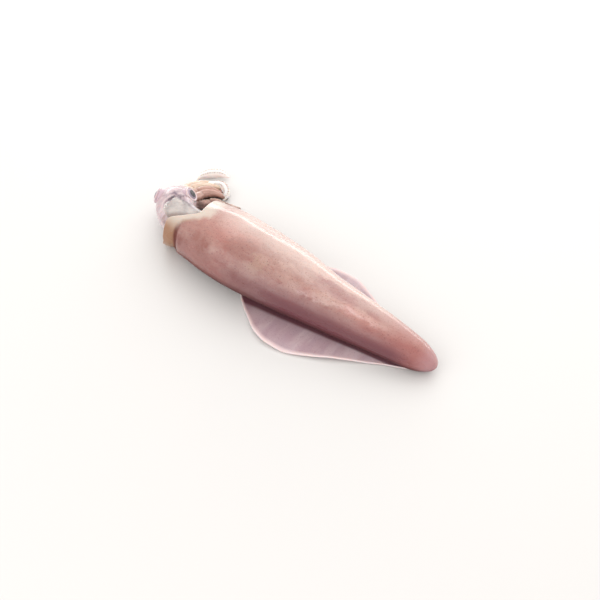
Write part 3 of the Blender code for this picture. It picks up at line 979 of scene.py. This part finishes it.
def calculate(operation, *values):
    """A Math node's result, such as a sum or the larger of two values."""
    return add_node(tree_of(*values), "Math", dict(enumerate(values)), operation=operation).outputs[0]


def times(first, *others):
    """All these values multiplied together."""
    for other in others:
        first = calculate("MULTIPLY", first, other)
    return first


def vector_math(operation, first, second, slot=1, output=0):
    """A Vector Math node's result; slot is the socket that takes the second value."""
    inputs = {0: first, slot: second}
    return add_node(tree_of(first), "VectorMath", inputs, operation=operation).outputs[output]


def drawn_out(vector, *factors):
    """Coordinates multiplied one by one; a factor below 1 draws a pattern out along that axis."""
    return vector_math("MULTIPLY", vector, factors)


# %% Ramps and bands
def ramp(value, low, high, to_low=0.0, to_high=1.0):
    """Eases a value from to_low to to_high as it goes from low to high."""
    inputs = {"Value": value, "From Min": low, "From Max": high, "To Min": to_low, "To Max": to_high}
    return add_node(tree_of(value), "MapRange", inputs, interpolation_type="SMOOTHSTEP").outputs["Result"]


def band(value, low, high, soft):
    """1 between low and high, easing to nothing over a soft distance on both sides."""
    return times(ramp(value, low - soft, low), ramp(value, high + soft, high))


def axes(vector):
    """The three numbers of a vector, as sockets named X, Y and Z."""
    return add_node(tree_of(vector), "SeparateXYZ", {"Vector": vector}).outputs


def noise_of(vector, scale, detail, output="Fac", **inputs):
    inputs.update({"Vector": vector, "Scale": scale, "Detail": detail})
    return add_node(tree_of(vector), "TexNoise", inputs).outputs[output]


# %% Colours and layers
MIX_FIRST, MIX_SECOND, MIX_RESULT = 6, 7, 2  # a Mix node's sockets for colours


def linear(colour):
    """A screen colour, from 0 to 255, as the linear colour that shaders use."""
    channels = [c / 255 for c in colour]
    curved = [c / 12.92 if c <= 0.04045 else ((c + 0.055) / 1.055) ** 2.4 for c in channels]
    return (*curved, 1.0)


def blend(amount, first, second):
    """A mix of two colours, each a socket or a screen colour; amount 0 gives the first."""
    first, second = (colour if is_socket(colour) else linear(colour) for colour in (first, second))
    inputs = {"Factor": amount, MIX_FIRST: first, MIX_SECOND: second}
    return add_node(tree_of(amount), "Mix", inputs, data_type="RGBA").outputs[MIX_RESULT]


def layered(colour, *layers):
    """Lays (mask, amount, colour) layers over a colour, one after another."""
    for mask, amount, over in layers:
        colour = blend(times(mask, amount), colour, over)
    return colour


# %% [markdown]
# ## Colour cells in the skin
# A squid's skin is clear. Its colour comes from thousands of tiny elastic sacs of red-brown pigment,
# spread open or drawn to a point. From a step away they blend into a tan, and up close they are dots. A
# Voronoi texture gives one cell for each sac: the distance to the middle of the cell makes the dot, and
# the random colour that each cell has decides how far that sac is open. The effect is used on every part
# of the skin, so it is a node group.

# %% Group of pigment dots
def start_group(name, inputs, outputs):
    """An empty node group with these named sockets; inputs gives each a default number or place."""
    group = bpy.data.node_groups.new(name, "ShaderNodeTree")
    group.interface.new_socket("Vector", in_out="INPUT", socket_type="NodeSocketVector")
    for socket, value in inputs.items():
        kind = "NodeSocketVector" if isinstance(value, tuple) else "NodeSocketFloat"
        group.interface.new_socket(socket, in_out="INPUT", socket_type=kind).default_value = value
    for socket in outputs:
        group.interface.new_socket(socket, in_out="OUTPUT", socket_type="NodeSocketFloat")
    given = group.nodes.new("NodeGroupInput").outputs
    return group, given, group.nodes.new("NodeGroupOutput").inputs


def make_pigment_dots():
    """Scale is cells per metre, Size the widest dot as a share of a cell, Open how many sacs are open."""
    inputs = {"Scale": 700.0, "Size": 0.5, "Open": 0.8}
    group, given, result = start_group("Pigment dots", inputs, ["Dots"])
    grid = {"Vector": given["Vector"], "Scale": given["Scale"]}
    cells = add_node(group, "TexVoronoi", grid, feature="F1")
    random = add_node(group, "SeparateColor", {"Color": cells.outputs["Color"]}).outputs
    opened = calculate("GREATER_THAN", given["Open"], random["Red"])
    radius = times(ramp(random["Green"], 0.0, 1.0, 0.35, 1.0), given["Size"])
    near = calculate("DIVIDE", cells.outputs["Distance"], radius)
    group.links.new(times(ramp(near, 0.55, 1.0, 1.0, 0.0), opened), result["Dots"])
    return group


pigment_dots = make_pigment_dots()
print("group:", pigment_dots.name)

# %% [markdown]
# ## Mottling
# Over larger areas the sacs open and close together, so the skin is darker in soft patches a centimetre
# or two wide. Noise of several sizes makes the patches; stretching its coordinates along the body makes
# them look drawn out by the muscle below.


# %% Group of soft patches
def make_patches():
    """Scale is patches per metre, Edge how soft a patch ends, Cover how much of the skin they take."""
    inputs = {"Scale": 60.0, "Edge": 0.18, "Cover": 0.5}
    group, given, result = start_group("Soft patches", inputs, ["Patches"])
    cloud = noise_of(given["Vector"], given["Scale"], 5.0, Roughness=0.62)
    middle = calculate("SUBTRACT", 1.0, given["Cover"])
    low = calculate("SUBTRACT", middle, given["Edge"])
    high = calculate("ADD", middle, given["Edge"])
    group.links.new(ramp(cloud, low, high), result["Patches"])
    return group


patches = make_patches()
print("group:", patches.name)

# %% [markdown]
# ## Wet relief
# Wet skin is smooth between fine wrinkles, and a film of water fills some of them. The group gives a
# height for a Bump node, made of fine lengthwise wrinkles and a faint pebble, and a film value that
# makes some places glossier.


# %% Group of fine relief
def make_wet_relief():
    """Fine is wrinkles per metre and Pebble bumps per metre; wrinkles are drawn out along X."""
    group, given, result = start_group("Wet relief", {"Fine": 260.0, "Pebble": 900.0}, ["Height", "Film"])
    drawn = drawn_out(given["Vector"], 0.35, 1.0, 1.0)
    wrinkles = noise_of(drawn, given["Fine"], 4.0)
    pebble = noise_of(given["Vector"], given["Pebble"], 2.0)
    group.links.new(calculate("MULTIPLY_ADD", pebble, 0.35, wrinkles), result["Height"])
    group.links.new(ramp(noise_of(drawn, 55.0, 3.0), 0.38, 0.62), result["Film"])
    return group


wet_relief = make_wet_relief()
print("group:", wet_relief.name)

# %% [markdown]
# ## Marks in one place
# Some marks belong in one place, such as a dark smear behind the rim or the purple patch beside an eye.
# Such a mark is a ball in space: the distance to its middle says how strong it is. Noise pushes the
# place about before that distance is taken, which makes the mark's edge ragged. It is a node group too,
# because many finishes have marks.


# %% Group of one ragged mark
def make_ragged_mark():
    """Middle and Radius place the mark, in metres; Ragged is how far its edge wanders."""
    inputs = {"Middle": (0.0, 0.0, 0.0), "Radius": 0.005, "Ragged": 0.002}
    group, given, result = start_group("Ragged mark", inputs, ["Mark"])
    cloud = noise_of(given["Vector"], 190.0, 4.0, output="Color")
    centred = vector_math("ADD", cloud, (-0.5, -0.5, -0.5))
    push = vector_math("SCALE", centred, given["Ragged"], slot="Scale")
    moved = vector_math("ADD", given["Vector"], push)
    away = vector_math("DISTANCE", moved, given["Middle"], output="Value")
    group.links.new(ramp(away, given["Radius"], times(given["Radius"], 0.1)), result["Mark"])
    return group


ragged_mark = make_ragged_mark()
print("group:", ragged_mark.name)


# %% Use the groups in a material
RAGGED_SHARE = 2.2  # how far a mark's edge wanders, in its own radii


def use_group(group, vector, **values):
    """Places a node group, fed by this vector, with its own values."""
    tree = tree_of(vector)
    node = tree.nodes.new("ShaderNodeGroup")
    node.node_tree = group
    tree.links.new(vector, node.inputs["Vector"])
    for socket, value in values.items():
        node.inputs[socket].default_value = value
    return node.outputs


def soft_patches(vector, scale, edge, cover):
    return use_group(patches, vector, Scale=scale, Edge=edge, Cover=cover)["Patches"]


def dots(vector, scale, size, share_open):
    return use_group(pigment_dots, vector, Scale=scale, Size=size, Open=share_open)["Dots"]


def with_marks(place, colour, marks):
    """Lays ragged marks of (middle, radius, colour, amount) over a colour, one after another."""
    for middle, radius, over, amount in marks:
        ragged = radius * RAGGED_SHARE
        mark = use_group(ragged_mark, place, Middle=middle, Radius=radius, Ragged=ragged)["Mark"]
        colour = layered(colour, (mark, amount, over))
    return colour


# %% [markdown]
# ## Starting and finishing a material
# Flesh lets light in and scatters it, red light furthest, which is the shader's subsurface part. A film
# of water over it is the coat. Both are the same nearly all over, so they are plain numbers on the
# shader. At the end each material gets its colour, a bump from the wet relief, and a roughness that is
# lower where the film lies.

# %% Start and finish a material
WET = {
    "Subsurface Weight": 0.25,
    "Subsurface Radius": (0.0050, 0.0022, 0.0015),
    "Subsurface Scale": 1.0,
    "Coat Weight": 0.45,
    "Coat Roughness": 0.13,
    "IOR": 1.38,
}
BUMP_HEIGHT = 0.0004


def start_material(name, numbers):
    """A new material, its Principled shader set up with these numbers, and the object's own coordinates."""
    made = bpy.data.materials.new(name)
    made.use_nodes = True
    shader = made.node_tree.nodes["Principled BSDF"]
    for socket, value in numbers.items():
        shader.inputs[socket].default_value = value
    return made, shader, add_node(made.node_tree, "TexCoord").outputs["Object"]


def stored(shader, name, output="Fac"):
    """A number that the mesh carries for each of its points."""
    return add_node(tree_of(shader), "Attribute", attribute_name=name).outputs[output]


def finish(shader, **results):
    """Links these results to the shader's sockets of the same names."""
    for socket, value in results.items():
        tree_of(shader).links.new(value, shader.inputs[socket.replace("_", " ")])


def finish_wet(shader, colour, vector, strength, dry_roughness, wet_roughness, dull=0.0):
    """Links the colour and the wet relief; dull is the least roughness that the skin may have."""
    relief = use_group(wet_relief, vector)
    height = {"Strength": strength, "Distance": BUMP_HEIGHT, "Height": relief["Height"]}
    bumped = add_node(tree_of(shader), "Bump", height).outputs["Normal"]
    film = ramp(relief["Film"], 0.0, 1.0, dry_roughness, wet_roughness)
    finish(shader, Base_Color=colour, Normal=bumped, Roughness=calculate("MAXIMUM", film, dull))


# %% [markdown]
# ## The mantle's skin
# The skin is built up as it is on the animal. Pale flesh lies at the bottom. Soft patches and marks of
# pigment lie over it, tan in some places and pink in others. Then come the large changes along the body:
# a top painted paler where light falls on it, a pale ridge painted as a highlight and a groove darkened
# with painted shade that wander down the rear, a redder tail, and a low side that is partly wine-red
# pigment and partly painted shade, darkest in the fold over the fin. These read the stored numbers and
# the place along the body. The rest reads the object's own coordinates.

# %% Mantle masks
MANTLE_MARKS = (  # (middle, radius, colour, amount)
    ((-0.0770, -0.0310, 0.0405), 0.0085, (134, 66, 52), 0.72),
    ((-0.0860, -0.0280, 0.0430), 0.0070, (146, 80, 68), 0.60),
    ((-0.1040, -0.0310, 0.0330), 0.0105, (122, 54, 42), 0.80),
    ((-0.0650, -0.0172, 0.0498), 0.0150, (180, 118, 111), 0.42),
    ((-0.0560, -0.0310, 0.0410), 0.0130, (152, 88, 80), 0.50),
    ((-0.0950, -0.0080, 0.0490), 0.0110, (200, 152, 130), 0.60),
    ((-0.0250, -0.0240, 0.0420), 0.0120, (178, 150, 130), 0.45),
    ((0.0230, -0.0180, 0.0380), 0.0110, (160, 98, 94), 0.45),
    ((0.0560, -0.0100, 0.0340), 0.0100, (180, 112, 108), 0.45),
)
RIDGE_SLANT = 4.0  # how fast ridge and groove turn round the body as they go back


def body_layers(along, edge, near, top, wander, streaks, pink):
    """The large changes along and round the body, and the mask of its top, painted paler as light falls on
    it.
    """
    # painted light: the top and the far side painted paler, as if lit
    painted_lit_top = times(ramp(near, 0.55, -0.30), ramp(top, 0.10, 0.50), ramp(edge, 0.006, 0.045, 0.30, 1.0))
    slanted = calculate("MULTIPLY_ADD", along, RIDGE_SLANT, near)
    wandering = calculate("ADD", slanted, ramp(wander, 0.0, 1.0, -0.06, 0.08))
    rear = band(along, 0.025, 0.080, 0.030)
    # painted highlight along a pale ridge down the rear
    ridge_highlight = times(band(wandering, 0.60, 0.70, 0.12), rear, ramp(streaks, 0.0, 1.0, 0.3, 1.0))
    # painted shade below the ridge
    shade_below_ridge = times(ramp(wandering, 0.68, 0.88), ramp(along, -0.050, 0.010))
    # painted shade in the groove
    groove_shade = times(band(wandering, 0.03, 0.34, 0.15), rear, ramp(pink, 0.0, 1.0, 0.4, 1.0))
    # low side: partly wine-red pigment, partly painted shade
    low_side_and_shade = times(ramp(top, 1.05, 0.22), ramp(near, 0.20, 0.70), ramp(along, 0.128, 0.096, 0.15, 1.0))
    layers = (
        (ramp(along, -0.045, -0.085), 0.42, (153, 107, 98)),
        (painted_lit_top, 0.58, (222, 202, 194)),
        (ridge_highlight, 0.75, (220, 192, 189)),
        (shade_below_ridge, 0.38, (150, 98, 96)),
        (groove_shade, 0.66, (150, 104, 106)),
        (ramp(along, 0.060, 0.112), 0.62, (160, 88, 84)),
        (times(low_side_and_shade, ramp(along, -0.085, 0.010, 0.34, 1.0)), 0.88, (99, 48, 60)),
    )
    return layers, painted_lit_top


# %% [markdown]
# The mouth's edge has layers of its own: an ochre collar on the near side with a crease behind it that
# is darkened with painted shade, and a cream rim on top whose border is uneven. Along the low side a
# fold is darkened, partly pigment and partly painted shade. The fold and the crease get little light in
# reality. A wet gleam would turn them grey, so the mask of both takes the coat away there and makes the
# skin rough.


# %% Mantle material
def make_mantle_skin():
    made, shader, place = start_material("mantle_skin", WET)
    along = axes(place)["X"]
    edge, near, top = (stored(shader, name) for name in ("behind_mouth", "near_side", "top_side"))
    drawn = drawn_out(place, 0.45, 1.0, 1.0)
    broad = soft_patches(drawn, 38.0, 0.16, 0.50)
    pink = soft_patches(drawn, 27.0, 0.10, 0.46)
    streaks = soft_patches(drawn_out(place, 0.12, 1.0, 1.0), 120.0, 0.12, 0.42)
    wander = soft_patches(place, 70.0, 0.20, 0.50)

    colour = blend(broad, (191, 157, 147), (155, 109, 101))
    small = soft_patches(place, 120.0, 0.10, 0.42)
    colour = layered(colour, (pink, 0.45, (196, 128, 118)), (small, 0.40, (146, 90, 83)))
    colour = with_marks(place, colour, MANTLE_MARKS)
    body, painted_lit_top = body_layers(along, edge, near, top, wander, streaks, pink)
    large_dots = times(dots(place, 520.0, 0.40, 0.55), ramp(painted_lit_top, 0.0, 1.0, 0.36, 0.12))
    # fold along the low side: partly pigment, partly painted shade
    fold_pigment_and_shade = times(ramp(top, 0.12, -0.55), ramp(along, -0.125, -0.090, 0.1, 1.0))
    # painted shade in the crease behind the collar
    crease_shade = times(band(edge, 0.0125, 0.0145, 0.0030), ramp(near, 0.50, 0.85))
    border = calculate("ADD", edge, ramp(wander, 0.0, 1.0, -0.0020, 0.0030))
    colour = layered(
        colour,
        *body,
        (dots(place, 1150.0, 0.50, 0.85), 0.30, (112, 56, 52)),
        (large_dots, 1.0, (98, 44, 44)),
        (fold_pigment_and_shade, 0.88, (66, 30, 32)),
        (times(ramp(edge, 0.015, 0.009), ramp(near, 0.30, 0.65)), 0.88, (150, 110, 80)),
        (crease_shade, 0.88, (92, 40, 32)),
        (times(ramp(border, 0.0185, 0.0060), ramp(top, 0.50, 0.88, 0.02, 1.0)), 0.88, (206, 194, 182)),
        (ramp(along, 0.114, 0.128), 0.50, (184, 148, 154)),
    )
    dull = calculate("MAXIMUM", fold_pigment_and_shade, crease_shade)
    finish(shader, Coat_Weight=ramp(dull, 0.0, 0.4, 0.45, 0.0))
    finish_wet(shader, colour, place, 0.35, 0.38, 0.24, dull=ramp(dull, 0.0, 0.4, 0.0, 0.8))
    return made


mantle_skin = make_mantle_skin()

# %% [markdown]
# ## The fins' skin
# The fins are thinner than the mantle, so less light comes back from them: they look greyer and more
# violet. The fold where they leave the body is dark wine red, partly pigment and partly painted shade.
# Their edge is a clear film with almost no pigment, pale pink where light gets through.


# %% Fin material
def make_fin_skin():
    made, shader, place = start_material("fin_skin", WET)
    across = drawn_out(place, 1.0, 0.25, 1.0)
    colour = blend(soft_patches(across, 70.0, 0.16, 0.50), (198, 176, 181), (178, 151, 159))
    colour = layered(
        colour,
        (dots(place, 900.0, 0.45, 0.70), 0.30, (120, 76, 86)),
        (ramp(axes(place)["X"], 0.010, -0.035), 0.50, (152, 120, 128)),
        # fold at the fin's root: partly wine pigment, partly painted shade
        (ramp(stored(shader, "from_body"), 0.92, 0.79), 0.86, (96, 42, 54)),
        (ramp(stored(shader, "to_edge"), 0.90, 0.985), 0.85, (238, 216, 216)),
    )
    finish_wet(shader, colour, across, 0.35, 0.44, 0.28)
    return made


fin_skin = make_fin_skin()

# %% [markdown]
# ## The head, the funnel and the eyes
# The head is pale, whitish lilac, with dark purple marks where the pigment sacs stay open round the eyes
# and along the funnel's lip; behind the lip the dark purple is partly pigment and partly painted shade.
# The funnel is a silvery grey. Both are darkened brown with painted shade where they go into the
# mantle. A stored number says how far a point of the head is from the funnel's lip. An eye has a dark
# purple pupil and a thin silver ring; its material reads how far out from the pupil's middle each point
# is.

# %% Head and funnel materials
HEAD_MARKS = (
    ((-0.1500, 0.0114, 0.0321), 0.0068, (84, 54, 80), 0.90),
    # the next two: dark purple at the funnel's free end, partly pigment and partly painted shade
    ((-0.1467, 0.0040, 0.0326), 0.0062, (58, 38, 54), 0.90),
    ((-0.1430, 0.0105, 0.0320), 0.0055, (66, 42, 62), 0.85),
    ((-0.1560, 0.0050, 0.0300), 0.0050, (120, 92, 108), 0.60),
    ((-0.1640, 0.0160, 0.0285), 0.0060, (236, 214, 220), 0.70),
    # painted shade where the head goes into the mantle's mouth
    ((-0.1370, -0.0170, 0.0250), 0.0070, (124, 94, 90), 0.65),
)
FUNNEL_MARKS = (
    ((-0.1180, 0.0050, 0.0400), 0.0100, (160, 140, 152), 0.65),
    # dark lines along the fold of the funnel's lip: partly pigment, partly painted shade
    ((-0.1310, 0.0015, 0.0420), 0.0050, (70, 54, 70), 0.85),
    ((-0.1262, 0.0005, 0.0422), 0.0044, (84, 68, 82), 0.80),
    ((-0.1215, 0.0004, 0.0415), 0.0040, (110, 92, 104), 0.70),
)


def make_head_skin(name, tones, mark_cover, mark_amount, marks=()):
    """Pale skin with soft grey patches and dark marks, darkened with painted shade towards the mantle and
    the funnel's lip.
    """
    made, shader, place = start_material(name, WET)
    pale, grey, mark = tones
    colour = blend(soft_patches(place, 90.0, 0.14, 0.50), pale, grey)
    colour = layered(
        colour,
        (soft_patches(place, 170.0, 0.07, mark_cover), mark_amount, mark),
        (dots(place, 850.0, 0.42, 0.60), 0.25, mark),
        # dark purple behind the funnel's lip: partly pigment, partly painted shade
        (ramp(stored(shader, "from_lip"), 0.0050, 0.0018), 0.70, (96, 70, 88)),
        # painted shade where the head and the funnel go into the mantle
        (ramp(stored(shader, "behind_mouth"), -0.013, -0.003), 0.65, (118, 96, 88)),
    )
    finish_wet(shader, with_marks(place, colour, marks), place, 0.30, 0.34, 0.20)
    return made


PURPLE, GREY_PURPLE = (96, 64, 84), (110, 90, 100)
HEAD_TONES = ((206, 186, 188), (178, 154, 160), PURPLE)  # (pale skin, grey patches, marks)
LID_TONES = ((224, 204, 206), (196, 172, 178), PURPLE)
FUNNEL_TONES = ((190, 182, 178), (162, 154, 152), GREY_PURPLE)
head_skin = make_head_skin("head_skin", HEAD_TONES, 0.30, 0.55, HEAD_MARKS)
lid_skin = make_head_skin("lid_skin", LID_TONES, 0.22, 0.45)
funnel_skin = make_head_skin("funnel_skin", FUNNEL_TONES, 0.24, 0.40, FUNNEL_MARKS)


# %% Eye material
def make_eye_skin():
    made, shader, place = start_material("eye", {"Coat Weight": 0.25, "Coat Roughness": 0.06, "IOR": 1.34})
    out = stored(shader, "from_pupil")
    silver = blend(noise_of(place, 900.0, 3.0), (118, 106, 124), (176, 164, 178))
    ring = blend(ramp(out, 0.54, 0.68), silver, (196, 172, 182))
    colour = blend(ramp(out, 0.40, 0.50), (24, 12, 24), ring)
    finish(shader, Base_Color=colour, Roughness=ramp(out, 0.40, 0.50, 0.12, 0.30))
    return made


eye_finish = make_eye_skin()

# %% [markdown]
# ## The arms and the suckers
# An arm is brown on its rounded back, with fine stripes that run along it, and cream on the flat side
# with the suckers. The stored straight coordinates tell the two sides apart: their third number is the
# height in half widths. The stripes use the same numbers, drawn out along the arm, so they bend with it,
# and so does the root, which keeps the head's lilac for about a centimetre. The arms that lie outermost
# in the bundle are cream all over, and all of them are darkened low down with painted shade, where they
# meet the table and the mantle.

# %% Arm and sucker materials
ARM_MARKS = (
    # painted shade in the deep notch between the head, the arms and the mantle
    ((-0.1405, 0.0310, 0.0070), 0.0110, (78, 46, 34), 0.88),
    ((-0.1190, 0.0560, 0.0060), 0.0090, (224, 204, 194), 0.85),
    ((-0.1270, 0.0520, 0.0060), 0.0030, (96, 66, 60), 0.60),
)
LILAC, ROOT_FADE = (190, 168, 172), 0.13
BROWNS = ((196, 158, 145), (172, 132, 120), (210, 178, 162))  # (back, stripe, side of the suckers)
CREAMS = ((228, 208, 190), (208, 182, 162), (236, 216, 198))
PEARLS = ((246, 238, 234), (236, 218, 214), (248, 240, 236))


def make_arm_skin(name, tones, low_shade_amount, root_end, marks=()):
    """Pigmented and striped on the back, pale on the side of the suckers, and lilac at the root."""
    made, shader, place = start_material(name, WET)
    back, stripe, belly = tones
    straight = stored(shader, "straight", output="Vector")
    share, up = axes(straight)["X"], axes(straight)["Z"]
    stripes = soft_patches(drawn_out(straight, 4.0, 1.0, 1.0), 1.6, 0.12, 0.50)
    colour = blend(stripes, back, stripe)
    colour = layered(
        colour,
        (dots(place, 1000.0, 0.45, 0.80), 0.30, (96, 50, 52)),
        (ramp(up, -0.05, 0.45), 1.0, belly),
        # painted shade low down, where the arms meet the table and the mantle
        (ramp(axes(place)["Z"], 0.0100, 0.0040), low_shade_amount, (70, 42, 36)),
    )
    colour = with_marks(place, colour, marks)
    ragged = calculate("ADD", share, ramp(stripes, 0.0, 1.0, -0.02, 0.03))
    colour = layered(colour, (ramp(ragged, root_end, root_end - ROOT_FADE), 0.88, LILAC))
    finish_wet(shader, colour, place, 0.35, 0.38, 0.24)
    return made


def make_sucker_skin():
    made, shader, place = start_material("sucker_skin", WET)
    colour = blend(soft_patches(place, 500.0, 0.20, 0.45), (242, 226, 212), (186, 148, 150))
    finish_wet(shader, colour, place, 0.20, 0.34, 0.22)
    return made


arm_skin = make_arm_skin("arm_skin", BROWNS, 0.75, 0.34, ARM_MARKS)
outer_arm_skin = make_arm_skin("outer_arm_skin", CREAMS, 0.50, 0.38)
tentacle_skin = make_arm_skin("tentacle_skin", PEARLS, 0.05, 0.20)
sucker_skin = make_sucker_skin()

# %% [markdown]
# ## More numbers on the meshes
# Some of these materials read numbers that their meshes don't carry yet. For a fin they are how near a
# point is to the outline, and how far out from the body. For an eye it is how far a point is from the
# line through the pupil, in eye radii. The head and the funnel get their distance from the mouth's edge,
# and the head its distance from the funnel's lip. All are worked out from the finished shapes.

# %% Store numbers for fins, eyes, head and funnel
FAR = 1.0


def out_from_middle(co):
    return abs(co.y - mantle_side(co.x))


def from_pupil(co, middle, out):
    """How far a point is from the line through the pupil, in eye radii."""
    away = co - middle
    return away.cross(out).length / EYE_RADIUS if away.dot(out) > 0 else FAR


for fin in fins:
    store(fin, "to_edge", lambda v: out_from_middle(v.co) / fin_reach(v.co.x))
    store(fin, "from_body", lambda v: out_from_middle(v.co) / mantle_half_width(v.co.x))
for ball, shift in zip(eyes, EYE_SHIFTS.values()):
    middle, out = eye_place(shift)
    store(ball, "from_pupil", lambda v: from_pupil(v.co, middle, out))
store(head, "from_lip", lambda v: min((v.co - point).length for point in lip_points))
for piece in (funnel, *lids):
    store(piece, "from_lip", lambda v: FAR)
for piece in (head, funnel):
    store(piece, "behind_mouth", lambda v: behind_mouth(v.co))
for piece in lids:
    store(piece, "behind_mouth", lambda v: -FAR)

# %% Give every piece its finish
OUTER_ARMS = (3, 6, 7)
finishes = {mantle: [mantle_skin], head: [head_skin], funnel: [funnel_skin]}
for pieces, skins in (
    (fins, [fin_skin]), (eyes, [eye_finish]), (lids, [lid_skin]), (arms, [arm_skin, sucker_skin]),
    (tentacles, [tentacle_skin, sucker_skin]),
):
    finishes.update({piece: skins for piece in pieces})
finishes.update({arms[number]: [outer_arm_skin, sucker_skin] for number in OUTER_ARMS})
for piece, skins in finishes.items():
    slots = [face.material_index for face in piece.data.polygons]
    piece.data.materials.clear()
    for skin in skins:
        piece.data.materials.append(skin)
    piece.data.polygons.foreach_set("material_index", slots)
print(len(finishes), "pieces finished")

# %% [markdown]
# ## The table
# The squid lies on a plain pale surface, large enough to fill every view. It is a single sheet, with a
# faint unevenness in its gloss so that reflections don't look ruled. It is only a stage, so it isn't
# part of the squid.

# %% Table
TABLE_SIZE, TABLE_COLOUR = 6, (220, 219, 218)


def make_table():
    table = add_alone("table", bpy.ops.mesh.primitive_plane_add, size=TABLE_SIZE)
    made, shader, place = start_material("pale_table", {"Base Color": linear(TABLE_COLOUR)})
    finish(shader, Roughness=ramp(noise_of(place, 8.0, 3.0), 0.3, 0.7, 0.42, 0.52))
    table.data.materials.append(made)
    return table


table = make_table()

# %% Hand the pieces over
for piece in finishes:
    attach(piece, "root")
    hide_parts("squid")
